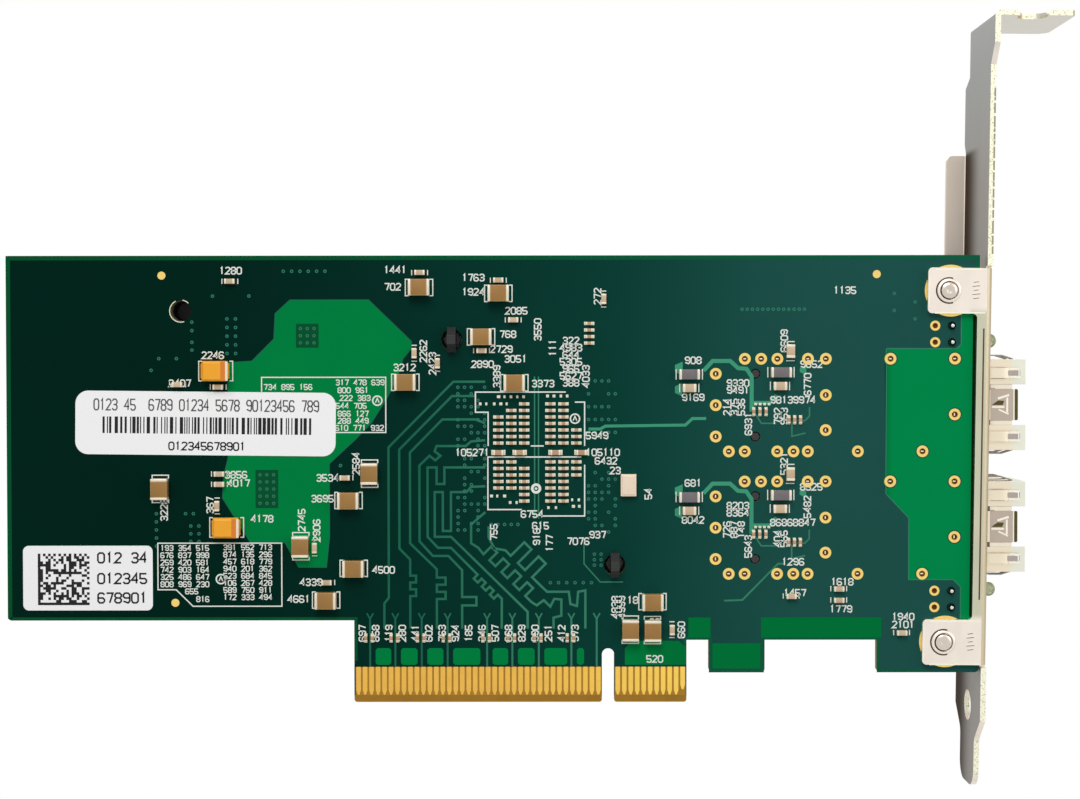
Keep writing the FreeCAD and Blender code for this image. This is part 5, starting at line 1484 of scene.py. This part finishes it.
class Lettering:
    """Draws plain numerals as stroked lines on a grid of 4 by 6 units."""

    def __init__(self, form: "Form", near: float, far: float) -> None:
        """Keeps the form and the depths of the ink.

        Args:
            form: Form that the strokes join.
            near: Depth of the ink's outer face.
            far: Depth of its inner face.
        """
        self.form = form
        self.near = near
        self.far = far

    def write(self, text: str, x: float, z: float, height: float = 0.85, turn: float = 0.0,
              stroke: float = 0.19, squeeze: float = 1.0) -> None:
        """Writes numerals centred on (x, z).

        Args:
            text: Numerals, spaces and hyphens.
            x: Middle along the card.
            z: Middle up the card.
            height: Height of a numeral.
            turn: Angle of the line, in degrees.
            stroke: Width of a stroke.
            squeeze: Width of a numeral against its usual one.
        """
        unit = height / 6
        step = unit * 5.3 * squeeze
        across = Vector((math.cos(math.radians(turn)), math.sin(math.radians(turn))))
        rise = Vector((-across.y, across.x))
        start = Vector((x, z)) - across * (step * len(text) - unit * 1.3) / 2 - rise * height / 2
        for place, mark in enumerate(text):
            for run in STROKES.get(mark, "").split(" ") if mark in STROKES else []:
                spots = [start + across * (place * step + int(run[n]) * unit * squeeze)
                         + rise * int(run[n + 1]) * unit for n in range(0, len(run) - 1, 2)]
                if len(spots) > 1:
                    self.form.ribbon([tuple(spot) for spot in spots], stroke, self.near, self.far)


@dataclass
class PrintedCopper:
    """Copper under the mask, bare rings and dots, all on the solder side."""

    board: Board
    lift: float = 0.012
    ring: float = 0.9
    ring_hole: float = 0.5
    lanes: tuple[float, ...] = (-36.86, -32.96, -28.89, -24.9, -18.81, -14.91, -10.83, -5.81)

    def depth(self, layers: float) -> float:
        """Depth of a layer of artwork over the mask."""
        return self.board.face(Side.SOLDER) - self.lift * layers

    def pours(self) -> None:
        """Bright fields where the mask lies on bare laminate."""
        near, far = self.depth(1), self.depth(0) + EMBED
        form = Form()
        right = [(42.78, 54.55), (53.6, 54.55), (54.3, 55.2), (54.3, 59.8), (56.9, 59.8), (56.9, 12.9),
                 (54.3, 12.9), (54.3, 17.8), (53.2, 18.92), (46.3, 18.92), (46.3, 28.45), (42.78, 32.18)]
        left = [(-48.9, 62.1), (-36.8, 62.1), (-30.2, 55.7), (-30.3, 54.5), (-31.5, 53.1), (-32.4, 50.2),
                (-34.0, 47.0), (-36.4, 43.2), (-38.9, 40.6), (-42.9, 36.9), (-42.9, 25.7), (-43.4, 20.9),
                (-47.7, 20.9), (-49.8, 24.7), (-55.1, 24.7), (-59.4, 31.6), (-59.2, 35.0), (-58.5, 37.8),
                (-58.5, 52.5), (-54.8, 52.7), (-51.4, 56.1), (-51.2, 60.0)]
        rings = [circle(x, z, self.ring + 0.18, 20) for port in self.board.ports
                 for x, z in self.board.pin_spots(port) if x > 43]
        form.slab(right, near, far, rings)
        form.slab(left, near, far)
        edge = Form()
        edge.ribbon(left, 0.14, near - STEP, far, closed=True)
        edge.ribbon(right[:4], 0.16, near - STEP, far)
        edge.ribbon(right[6:], 0.14, near - STEP, far)
        edge.ribbon([right[-1], right[0]], 0.14, near - STEP, far)
        edge.piece("pour_outline", [TRACE], "board")
        for lane, following in zip(self.lanes, (*self.lanes[1:], -3.2)):
            left_side, right_side = lane + 1.0, min(following - 0.5, lane + 5.2)
            form.slab([(left_side, 6.1), (left_side + 0.3, 5.8), (right_side - 0.3, 5.8), (right_side, 6.1),
                       (right_side, 8.1), (right_side - 0.3, 8.4), (left_side + 0.3, 8.4), (left_side, 8.1)],
                      near, far)
        form.slab([(2.6, 5.8), (12.0, 5.8), (12.0, 8.4), (10.9, 9.5), (3.7, 9.5), (2.6, 8.4)], near, far)
        for left, right, bottom, top in ((16.1, 23.5, 5.2, 9.1), (12.4, 15.8, 10.0, 13.1),
                                         (23.6, 42.1, 10.0, 13.1)):
            form.slab([(left, bottom), (right, bottom), (right, top), (left, top)], near, far)
        form.piece("bright_mask_fields", [POUR], "board")

    def border(self) -> None:
        """Lighter band round the board, where the copper stops short of the edge."""
        form = Form()
        upper = [(-92.25, 12.95), (-92.25, 68.55), (56.8, 68.55), (56.8, 66.0)]
        form.ribbon(upper, 0.68, self.depth(0.6), self.depth(0) + EMBED)
        form.ribbon([(-92.1, 12.95), (-38.9, 12.95), (-38.9, 6.4)], 0.5, self.depth(0.6),
                    self.depth(0) + EMBED)
        form.ribbon([(11.85, 6.0), (11.85, 9.9), (15.8, 9.9), (15.8, 4.85), (23.8, 4.85), (23.8, 9.9),
                     (41.7, 9.9), (41.7, 4.85), (49.0, 4.85)], 0.5, self.depth(0.6), self.depth(0) + EMBED)
        form.piece("border_band", [BORDER], "board")
        # Painted shadow on the mask beside the bracket's fold strip.
        dark = Form()
        dark.ribbon([(55.98, 13.2), (56.42, 59.6)], 0.62, self.depth(1.4), self.depth(0) + EMBED)
        dark.piece("strip_shade", [DEEP_MASK], "board")

    def weave(self, start: Point, step: Point, swing: Point, loops: int) -> list[Point]:
        """Square-sided meander.

        Args:
            start: Where it begins.
            step: Way from one run of a loop to the next.
            swing: The run itself, out and back.
            loops: How many loops.

        Returns:
            The meander's points.
        """
        spots = [start]
        for _ in range(loops):
            for dx, dz in (swing, step, (-swing[0], -swing[1]), step):
                spots.append((spots[-1][0] + dx, spots[-1][1] + dz))
        return spots

    def lane_paths(self) -> list[list[Point]]:
        """Lines from the controller's rear side down to the contact lanes.

        Returns:
            The points of each line, the outermost first.
        """
        foot = 11.4
        return [
            [(-18.9, 49.5), (-23.8, 49.5), (-33.8, 39.4), (-33.8, 16.2), (-34.5, 15.3), (-34.5, foot)],
            [(-20.5, 47.3), (-24.0, 47.3), (-32.15, 39.05), (-32.15, 23.8), (-30.5, 22.1),
             *self.weave((-30.5, 19.6), (0, -1.05), (0.9, 0), 2), (-30.5, foot)],
            [(-18.9, 43.1), (-20.4, 43.7), (-25.5, 43.7), (-30.5, 38.6), (-30.5, 24.6), (-26.4, 20.6),
             *self.weave((-26.4, 19.3), (0, -1.1), (1.35, 0), 2), (-26.4, foot)],
            [(-18.9, 40.5), (-21.1, 40.3), (-21.9, 39.6), (-26.4, 39.6), (-26.7, 38.8), (-25.8, 38.1),
             (-26.6, 37.4), (-27.5, 38.1), (-29.05, 36.6), (-29.05, 24.9), (-27.0, 22.65), (-24.6, 22.65),
             (-22.5, 20.45), *self.weave((-22.5, 16.3), (0, -1.3), (2.2, 0), 1), (-22.5, foot)],
            [(-18.9, 36.3), *self.weave((-25.2, 36.3), (-1.2, 0), (0, -2.55), 1), (-27.8, 36.3),
             (-27.8, 25.6),
             (-26.2, 23.9), (-24.2, 23.9), *self.weave((-20.1, 19.75), (0.62, -0.62), (-0.6, -0.6), 3),
             (-16.4, foot)],
            [(-18.9, 33.4), (-21.1, 33.3), (-21.8, 32.5),
             *self.weave((-24.2, 32.5), (-1.25, 0), (0, -6.0), 1),
             (-26.7, 25.6), (-24.2, 25.6), (-12.4, 14.0), (-12.4, foot)],
            [(-18.9, 29.4), (-21.1, 27.5), (-21.1, 24.6), (-20.0, 23.9),
             *self.weave((-19.2, 22.9), (0.92, -0.92), (1.2, 1.2), 4), (-11.0, 15.0), (-9.9, 15.8),
             (-8.9, 14.8),
             (-8.3, 16.0), (-7.2, 15.9), (-7.2, 13.4), (-8.4, 13.1), (-8.4, foot)],
            [(-18.4, 27.2), (-18.4, 25.5), (-17.5, 23.8), (-15.8, 23.5),
             *self.weave((-15.0, 22.65), (1.1, -1.1), (2.1, 2.1), 2), (-9.4, 17.1), (-6.05, 17.1),
             (-5.8, 15.2),
             (-4.8, 14.9), (-4.6, 17.1), (-3.5, 17.3), (-3.5, foot)]]

    def traces(self) -> None:
        """Lines that show faintly through the mask."""
        form = Form()
        near, far = self.depth(0.7), self.depth(0) + EMBED
        for path in self.lane_paths():
            form.ribbon(path, 0.36, near, far)
        for lane in (*self.lanes, -1.9):
            form.ribbon([(lane + 0.15, 12.9), (lane + 0.15, 5.6)], 0.3, near, far)
            form.ribbon([(lane - 0.35, 13.8), (lane + 0.15, 12.9), (lane + 0.65, 13.8)], 0.24,
                        near - 0.002, far)
        for x in (-11.3, -10.7):
            form.ribbon([(x, 28.4), (x, 50.3)], 0.2, near, far)
        form.ribbon([(-3.7, 24.5), (-3.7, 21.4), (-1.2, 18.6), (2.3, 18.6)], 0.2, near, far)
        form.ribbon([(17.9, 15.7), (20.7, 15.8), (26.2, 21.4), (27.2, 21.4)], 0.28, near, far)
        for port in self.board.ports:
            form.ribbon([(22.6, port - 1.2), (23.6, port - 2.8), (25.9, port - 2.8)], 0.24, near, far)
            form.ribbon([(28.3, port - 2.4), (30.3, port - 2.4), (31.0, port - 1.7), (31.0, port - 0.3)],
                        0.24, near, far)
            form.ribbon([(28.3, port - 2.4), (28.3, port - 4.8), (30.4, port - 4.3)], 0.24, near, far)
        form.piece("covered_traces", [TRACE], "board")
        wide = Form()
        wide.ribbon([(-3.0, 42.2), (-1.2, 42.2), (-0.4, 42.65), (11.9, 42.8), (13.0, 43.8), (15.1, 43.8)],
                    0.45, near, far)
        for port in self.board.ports:
            wide.ribbon([(14.7, port + 5.3), (16.1, port + 6.8), (18.8, port + 6.8), (20.0, port + 5.7),
                         (21.3, port + 5.6), (22.1, port + 4.4), (22.1, port - 1.0)], 0.62, near, far)
            wide.ribbon([(22.1, port + 0.4), (25.0, port + 0.4), (25.9, port + 1.6)], 0.5, near - 0.002, far)
            for left, right, low, high in ((10.3, 11.5, 4.6, 6.7), (10.3, 11.4, 1.4, 3.4),
                                           (29.5, 30.5, 4.6, 6.2)):
                wide.slab([(left, port + low + 0.5), (right, port + low), (right, port + high),
                           (left, port + high - 0.5)], near, far)
        wide.piece("wide_traces", [BRIGHT_TRACE], "board")

    def vias(self) -> None:
        """Small tented holes in rows and patches."""
        form = Form()
        near, far = self.depth(1), self.depth(0) + EMBED
        chance = random.Random(9)
        spots = [(-8.9 + n * 1.27, 18.5) for n in range(6)]
        for left, top, columns, rows, pitch, share in (
                (-23.1, 48.65, 5, 23, 1.0, 0.55), (-3.0, 49.6, 5, 5, 1.98, 0.9),
                (-3.0, 35.5, 5, 10, 1.02, 0.55),
                (-18.0, 27.5, 5, 1, 1.0, 1.0), (-2.1, 22.9, 2, 3, 0.85, 1.0)):
            spots += [(left + column * 1.03,
                       top - row * pitch) for row in range(rows) for column in range(columns)
                      if chance.random() < share]
        spots += [(20.6 + n * 0.8, 60.6) for n in range(13)]
        spots += [(-49.9 + n * 1.28, 66.5) for n in range(6)]
        spots += [(-58.6 + (n % 2) * 1.32, 59.2 - (n // 2) * 1.33) for n in range(10)]
        spots += [(-64.0, 58.7), (-64.0, 57.4), (-64.0, 55.6), (-64.0, 54.4), (-60.8, 62.7), (-55.2, 62.7)]
        spots += [(-69.1, 53.1), (-66.4, 53.1), (-70.3, 51.3), (-65.1, 29.2), (-63.9, 29.2), (-41.2, 36.6)]
        spots += [(-64.3 + (n % 2) * 1.25, 27.3 - (n // 2) * 1.2) for n in range(6)]
        spots += [(-69.6, 29.2 - n * 1.25) for n in range(5)]
        spots += [(44.0 + (n % 2) * 3.2, 63.0 - n * 1.3) for n in range(4)]
        for x, z in spots:
            form.ring(x, z, 0.27, 0.12, near, far, 10)
        patches = Form()
        for x0, z0, columns, rows in ((-47.3, 57.7, 3, 3), (-53.6, 35.2, 3, 5)):
            right, bottom = x0 + columns * 1.05 - 0.35, z0 - rows * 1.1 + 0.35
            patches.slab([(x0 - 0.7, bottom), (right, bottom), (right, z0 + 0.75), (x0 - 0.7, z0 + 0.75)],
                         self.depth(1.3), far)
            for n in range(columns * rows):
                form.ring(x0 + (n % columns) * 1.05, z0 - (n // columns) * 1.1, 0.26, 0.12, self.depth(1.6),
                          far, 10)
        patches.piece("via_patches", [BORDER], "board")
        form.piece("tented_vias", [VIA], "board")

    def bare_metal(self) -> None:
        """Gold rings round the plated holes, fiducial dots and the ground rings of the screws."""
        form = Form()
        near, far = self.depth(3), self.depth(0) + 0.01
        for port in self.board.ports:
            for x, z in self.board.pin_spots(port):
                form.ring(x, z, self.ring, self.ring_hole, near, far, 28)
        for x, z, soldered in self.board.lamp_spots():
            if not soldered:
                form.ring(x, z, 0.775, 0.45, near, far, 24)
        for x, z in ((-68.63, 65.85), (41.29, 65.97), (-66.73, 15.44)):
            form.turned([(0, near), (0.62, near), (0.62, far)], x, z, 24)
        for name in ("lower", "upper"):
            low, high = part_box(f"bracket_screw_{name}")
            middle = (low + high) / 2 / MM
            form.ring(middle.x + 0.4, middle.z, 3.98, 1.6, near, far, 48)
        x, z, radius = self.board.rear_hole
        rim = Form()
        rim.ribbon(circle(x, z, radius + 0.1, 40)[13:33], 0.14, near, far)
        rim.ribbon(circle(x, z, radius + 0.1, 40)[5:10], 0.12, near, far)
        rim.piece("rear_hole_rim", [PAD_SOLDER], "board")
        form.piece("bare_rings", [PALE_GOLD], "gold")
        barrels = Form()
        for port in self.board.ports:
            for x, z in self.board.pin_spots(port):
                barrels.ring(x, z, self.ring_hole + 0.02, self.ring_hole - 0.07, near + 0.012, 0.2, 20)
        for x, z, _ in self.board.lamp_spots():
            barrels.ring(x, z, 0.46, 0.4, near + 0.012, 0.6, 20)
        barrels.piece("hole_barrels", [BRASS_RIM], "gold")
        # Brown plugs just inside the pin holes and the spare lamp holes: painted shade in them.
        plugs = Form()
        for port in self.board.ports:
            for x, z in self.board.pin_spots(port):
                plugs.turned([(0, -0.42), (self.ring_hole - 0.06, -0.46), (self.ring_hole - 0.06, -0.3)], x,
                             z, 16)
        for x, z, soldered in self.board.lamp_spots():
            if not soldered:
                plugs.turned([(0, -0.5), (0.4, -0.54), (0.4, -0.3)], x, z, 16)
        plugs.piece("hole_painted_shade", [SHADOW], "board")

    def component_side(self) -> None:
        """Rings, lines and fields of the other face."""
        face = self.board.face(Side.COMPONENT)
        far = face + self.lift
        crest = face + 0.03  # top of a ring
        under = far * 0.999  # fields stop just under the lines that cross them
        rings, lines, fields = Form(), Form(), Form()
        for port in self.board.ports:
            for x, z in self.board.pin_spots(port):
                rings.ring(x, z, self.ring, self.ring_hole, face - EMBED, crest, 24)
            for n in range(6):
                start = port - 3.0 + n * 1.1
                lines.ribbon([(4.0, start - 1.4), (8.5 + n * 0.5, start - 1.4), (10.0 + n * 0.5, start),
                              (16.0, start)], 0.3, face - EMBED, far)
        for n in range(9):
            lines.ribbon([(-37.0 + n * 2.05, 5.6), (-37.0 + n * 2.05, 12.0 + n * 0.3),
                          (-30.0 + n * 1.2, 18.0)], 0.3,
                         face - EMBED, far)
        for x, z, _ in self.board.lamp_spots():
            rings.ring(x, z, 0.775, 0.45, face - EMBED, crest, 20)
        for bottom, top in ((27.0, 41.0), (49.5, 65.5)):
            fields.slab([(-62.2, bottom), (-43.0, bottom), (-40.0, bottom + 3), (-40.0, top), (-59.0, top),
                         (-62.2, top - 3)], face - EMBED, under)
        rings.piece("component_side_rings", [PALE_GOLD], "gold")
        lines.piece("component_side_lines", [TRACE], "board")
        fields.piece("component_side_fields", [BORDER], "board")

    def build(self) -> None:
        """Builds all the copper artwork."""
        self.component_side()
        self.pours()
        self.border()
        self.traces()
        self.vias()
        self.bare_metal()


@dataclass
class Silkscreen:
    """White ink: numerals beside the parts, outlines round them and boxes."""

    board: Board
    ink: float = 0.035
    height: float = 1.0
    count: int = 17

    def depths(self) -> tuple[float, float]:
        """Outer and inner depth of the ink."""
        face = self.board.face(Side.SOLDER)
        return face - self.ink, face + EMBED

    def number(self, marks: int) -> str:
        """Next numeral of a running count.

        Args:
            marks: How many digits it has.

        Returns:
            The numeral.
        """
        self.count += 23
        low = 10 ** (marks - 1)
        return str(low + self.count * 7 % (9 * low))

    def level_tags(self) -> tuple[tuple[float, float, int], ...]:
        """Level numerals, by part of the board.

        Returns:
            (x, z, digits) of each.
        """
        rear = ((-58.0, 66.6, 4), (-32.7, 66.7, 4), (-33.1, 64.1, 3), (-20.7, 65.5, 4), (-20.7, 63.3, 4),
                (-14.1, 60.4, 4), (-60.8, 53.6, 4), (-65.9, 49.3, 4), (-15.4, 56.8, 3), (-16.4, 54.5, 4),
                (-19.3, 52.2, 4), (-14.2, 53.0, 4), (-31.3, 51.7, 4), (-10.0, 49.2, 4), (-43.2, 34.7, 4),
                (-44.0, 31.5, 4), (-57.3, 35.2, 4), (-56.9, 33.9, 4), (-53.3, 28.4, 4), (-45.8, 18.6, 4),
                (-34.6, 20.5, 4), (-47.7, 16.0, 4))
        middle = tuple((-5.7, 55.8 - n * 1.08, 3 + n % 2) for n in range(7))
        middle += ((-1.7, 41.2, 4), (-0.8, 38.6, 6), (-20.9, 38.6, 6), (-0.3, 37.3, 4), (1.1, 35.8, 2),
                   (-11.7, 29.1, 4), (-10.4, 27.3, 3), (-4.6, 24.9, 4), (-1.6, 25.9, 3), (3.8, 15.8, 2),
                   (7.2, 12.4, 2), (7.2, 6.7, 3))
        ports = tuple((x, port + z, marks) for port in self.board.ports for x, z, marks in
                      ((13.1, 6.9, 3), (13.1, 1.2, 4), (20.0, 3.4, 4), (20.0, 2.3, 4),
                       (31.3, 6.3, 4), (26.7, 0.8, 4), (30.2, 0.8, 4)))
        front = ((36.4, 63.5, 4), (28.5, 21.7, 4), (28.8, 16.9, 4), (36.1, 18.6, 4), (35.9, 14.4, 4),
                 (45.5, 13.2, 4), (45.5, 12.0, 4))
        return rear + middle + ports + front

    def upright_tags(self) -> tuple[tuple[float, float, int], ...]:
        """Numerals that read upward.

        Returns:
            (x, z, digits) of each.
        """
        rear = ((-28.4, 54.2, 4), (-27.0, 52.3, 4), (-38.8, 36.9, 4), (-47.2, 28.2, 4), (-44.9, 26.6, 4),
                (-61.3, 30.5, 3), (-68.4, 29.8, 4))
        middle = ((-17.1, 50.3, 4), (-10.8, 57.5, 4), (-8.5, 54.7, 3), (-1.6, 62.6, 3), (-3.4, 50.3, 4),
                  (6.2, 32.2, 2), (-17.6, 26.3, 3), (-11.0, 25.6, 3), (-9.0, 24.6, 3), (1.1, 14.7, 4),
                  (2.1, 14.7, 4), (11.3, 11.2, 3))
        ports = tuple((x, port + z, marks) for port in self.board.ports for x, z, marks in
                      ((27.1, 9.9, 4), (30.7, 3.2, 4), (21.6, -2.9, 4), (26.1, -1.7, 3), (27.1, -1.7, 3),
                       (18.3, -0.3, 3), (19.4, -0.3, 3), (20.5, -0.3, 3)))
        lanes = tuple((-37.9 + n * 2.05, 10.7, 3) for n in range(17))
        return rear + middle + ports + lanes

    def tags(self) -> None:
        """Numerals beside the parts."""
        form = Form()
        pen = Lettering(form, *self.depths())
        for x, z, marks in self.level_tags():
            pen.write(self.number(marks), x, z, self.height)
        for x, z, marks in self.upright_tags():
            pen.write(self.number(marks), x, z, self.height, 90)
        form.piece("ink_numerals", [SILK], "board")

    def crowded_box(self, form: Form, outline: list[Point], rows: list[tuple[float, float, int]],
                    closed: bool) -> None:
        """Box with rows of small numerals.

        Args:
            form: Form that the ink joins.
            outline: Corners of the box.
            rows: (first x, z, how many numerals) of each row.
            closed: Whether the outline closes.
        """
        near, far = self.depths()
        form.ribbon(outline, 0.18, near, far, closed=closed)
        pen = Lettering(form, near, far)
        for start, z, several in rows:
            for n in range(several):
                pen.write(self.number(3), start + n * 2.75, z, 0.78, stroke=0.15)

    def corner_brackets(self, form: Form) -> None:
        """Outline corners round the larger parts.

        Args:
            form: Form that the ink joins.
        """
        near, far = self.depths()
        boxes = solids("bulk_capacitors")
        boxes += solids("tantalum_capacitor_lower") + solids("tantalum_capacitor_upper")
        for box in boxes:
            flat = box.size.x >= box.size.z
            margin = (0.46, -0.04) if flat else (-0.04, 0.46)
            low = (box.low.x - margin[0], box.low.z - margin[1])
            high = (box.high.x + margin[0], box.high.z + margin[1])
            if flat:
                for x, way in ((low[0], 1), (high[0], -1)):
                    form.ribbon([(x + way * 0.5, low[1]), (x, low[1]), (x, high[1]),
                                 (x + way * 0.5, high[1])],
                                0.17, near, far)
            else:
                for z, way in ((low[1], 1), (high[1], -1)):
                    form.ribbon([(low[0], z + way * 0.5), (low[0], z), (high[0], z),
                                 (high[0], z + way * 0.5)],
                                0.17, near, far)
        for node in ("small_capacitors", "port_filter_capacitors", "ferrite_beads"):
            for box in solids(node):
                flat = box.size.x >= box.size.z
                gap = 0.42
                if flat:
                    for x in (box.low.x - gap, box.high.x + gap):
                        form.ribbon([(x, box.low.z), (x, box.high.z)], 0.16, near, far)
                else:
                    for z in (box.low.z - gap, box.high.z + gap):
                        form.ribbon([(box.low.x, z), (box.high.x, z)], 0.16, near, far)

    def boxes(self) -> None:
        """Boxes, corner outlines and round marks."""
        form = Form()
        near, far = self.depths()
        upper = [(-53.3, 48.0), (-53.3, 50.2), (-34.2, 50.2), (-34.2, 41.7), (-41.9, 41.7)]
        self.crowded_box(form, upper, [(-52.0, 48.7, 3), (-40.9, 49.4, 3), (-40.6, 48.2, 2), (-40.3, 47.0, 2),
                                       (-40.9, 45.8, 2), (-40.6, 44.6, 2), (-40.6, 43.5, 2),
                                       (-41.0, 42.4, 3)],
                         False)
        lower = [(-69.4, 24.65), (-50.3, 24.65), (-50.3, 14.9), (-64.0, 14.9), (-66.6, 17.46), (-69.4, 17.46)]
        rows = ([(-68.0, 23.9 - n * 1.12, 3) for n in range(6)]
                + [(-58.3, 24.0 - n * 1.1, 3) for n in range(8)])
        self.crowded_box(form, lower, [*rows, (-64.2, 17.2, 1), (-62.5, 16.0, 1)], True)
        for path in (((-6.5, 47.9), (-20.4, 47.9), (-20.4, 44.8), (-18.45, 44.8), (-18.45, 39.6)),
                     ((-11.9, 39.6), (-9.9, 39.6)), ((-5.1, 46.35), (-3.6, 46.35), (-3.6, 39.6)),
                     ((-4.1, 37.9), (-18.5, 37.9), (-18.5, 29.8), (-13.3, 29.8)),
                     ((-10.2, 28.8), (-3.6, 28.8), (-3.6, 36.7))):
            form.ribbon(list(path), 0.2, near, far)
        for x, z in ((-5.08, 43.8), (-35.5, 46.6), (-59.7, 19.1)):
            form.ring(x, z, 0.82, 0.6, near, far, 24)
            form.ribbon([(x - 0.28, z - 0.3), (x, z + 0.36), (x + 0.28, z - 0.3)], 0.16, near, far)
        form.ring(-11.08, 33.04, 0.8, 0.4, near, far, 24)
        form.slab(circle(-11.08, 33.04, 0.2, 12), near, far)
        self.corner_brackets(form)
        form.piece("ink_boxes", [SILK], "board")

    def component_side(self) -> None:
        """Outlines round the parts of the component side, each with its numeral."""
        form = Form()
        face = self.board.face(Side.COMPONENT)
        pen = Lettering(form, face - EMBED, face + self.ink)
        for node in ("power_inductor_lower", "power_inductor_upper", "regulator_lower", "regulator_upper",
                     "memory_chip", "controller_package", "rear_spacer"):
            low, high = (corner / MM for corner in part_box(node))
            left, right, bottom, top = low.x - 0.5, high.x + 0.5, low.z - 0.5, high.z + 0.5
            form.ribbon([(left, bottom), (right, bottom), (right, top), (left, top)], 0.2, face - EMBED,
                        face + self.ink, closed=True)
            pen.write(self.number(3), (left + right) / 2, top + 1.0, self.height, squeeze=-1.0)
        form.piece("ink_component_side", [SILK], "board")

    def build(self) -> None:
        """Prints all the ink."""
        self.tags()
        self.boxes()
        self.component_side()


@dataclass
class Labels:
    """The two paper labels with their generic bars, matrix and numerals."""

    face: float = -0.885
    tilt: float = -0.6
    bar_span: tuple[float, float] = (-77.8, -45.9)
    bar_height: tuple[float, float] = (41.5, 44.06)
    module: float = 0.398
    modules: int = 20

    def paper(self) -> None:
        """Both papers, with rounded corners."""
        for name, length, height, radius in (("large", 40.1, 9.8, 2.0), ("small", 20.0, 10.0, 0.9)):
            node = f"label_{name}"
            low, high = (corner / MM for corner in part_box(node))
            middle = (low + high) / 2
            corners = [(middle.x + across * length / 2, middle.z + up * height / 2, radius)
                       for across, up in ((-1, -1), (1, -1), (1, 1), (-1, 1))]
            outline = rounded(corners, 14)
            if name == "large":
                outline = [self.turned_point(*corner) for corner in outline]
            form = Form()
            form.slab(outline, low.y, high.y)
            form.piece(node + "_paper", [PAPER], "label_paper", (node,), rounding=0.03)

    def turned_point(self, x: float, z: float) -> Point:
        """Point of the large label after its tilt.

        Args:
            x: Along the label.
            z: Up the label.

        Returns:
            The point on the card.
        """
        low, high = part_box("label_large")
        middle = (low + high) / 2 / MM
        angle = math.radians(self.tilt)
        dx, dz = x - middle.x, z - middle.z
        return (middle.x + dx * math.cos(angle) - dz * math.sin(angle),
                middle.z + dz * math.cos(angle) + dx * math.sin(angle))

    def bars(self, form: Form) -> None:
        """Row of bars of seeded widths.

        Args:
            form: Form that the ink joins.
        """
        chance = random.Random(41)
        x = self.bar_span[0]
        unit = 0.17
        while x < self.bar_span[1]:
            width = unit * chance.choice((1, 1, 1, 2, 2, 3))
            corners = [(x, self.bar_height[0]), (x + width, self.bar_height[0]),
                       (x + width, self.bar_height[1]),
                       (x, self.bar_height[1])]
            form.slab([self.turned_point(*corner) for corner in corners], self.face - FILM, self.face + EMBED)
            x += width + unit * chance.choice((1, 1, 2, 2, 3))

    def matrix(self, form: Form) -> None:
        """Square matrix of dark modules with a solid and a dashed border.

        Args:
            form: Form that the ink joins.
        """
        chance = random.Random(5)
        left, base = -87.9, 15.1
        for row in range(self.modules):
            for column in range(self.modules):
                border = column == 0 or row == 0
                last = self.modules - 1
                dashed = (row == last and column % 2 == 0) or (column == last and row % 2 == 0)
                inside = 0 < row < self.modules - 1 and 0 < column < self.modules - 1
                if border or dashed or (inside and chance.random() < 0.5):
                    x, z = left + column * self.module, base + row * self.module
                    size = self.module * 1.01
                    form.slab([(x, z), (x + size, z), (x + size, z + size), (x, z + size)],
                              self.face - FILM, self.face + EMBED)

    def build(self) -> None:
        """Builds both labels."""
        self.paper()
        form = Form()
        self.bars(form)
        self.matrix(form)
        pen = Lettering(form, self.face - FILM, self.face + EMBED)
        pen.write("012345678901", *self.turned_point(-61.7, 39.6), 1.15, self.tilt, 0.22, 0.98)
        for text, z in (("012 34", 22.4), ("012345", 19.2), ("678901", 16.2)):
            pen.write(text, -74.9, z, 1.5, 0, 0.27, 0.98)
        form.piece("label_ink_marks", [INK], "label_paper")
        light = Form()
        pen = Lettering(light, self.face - FILM, self.face + EMBED)
        pen.write("0123 45  6789 01234 5678 90123456 789", *self.turned_point(-61.9, 45.9), 1.65, self.tilt,
                  0.21, 0.645)
        light.piece("label_grey_marks", [GREY_INK], "label_paper")


def main() -> None:
    """Builds the looks in order."""
    logging.basicConfig(level=logging.INFO, format="%(message)s")
    random.seed(7)
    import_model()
    board = Board()
    board.build()
    SlotBracket().build()
    Ports().build()
    Controller().build()
    ChipParts().build()
    PrintedCopper(board).build()
    Silkscreen(board).build()
    Labels().build()
    Studio().build()


if __name__ == "__main__":
    main()
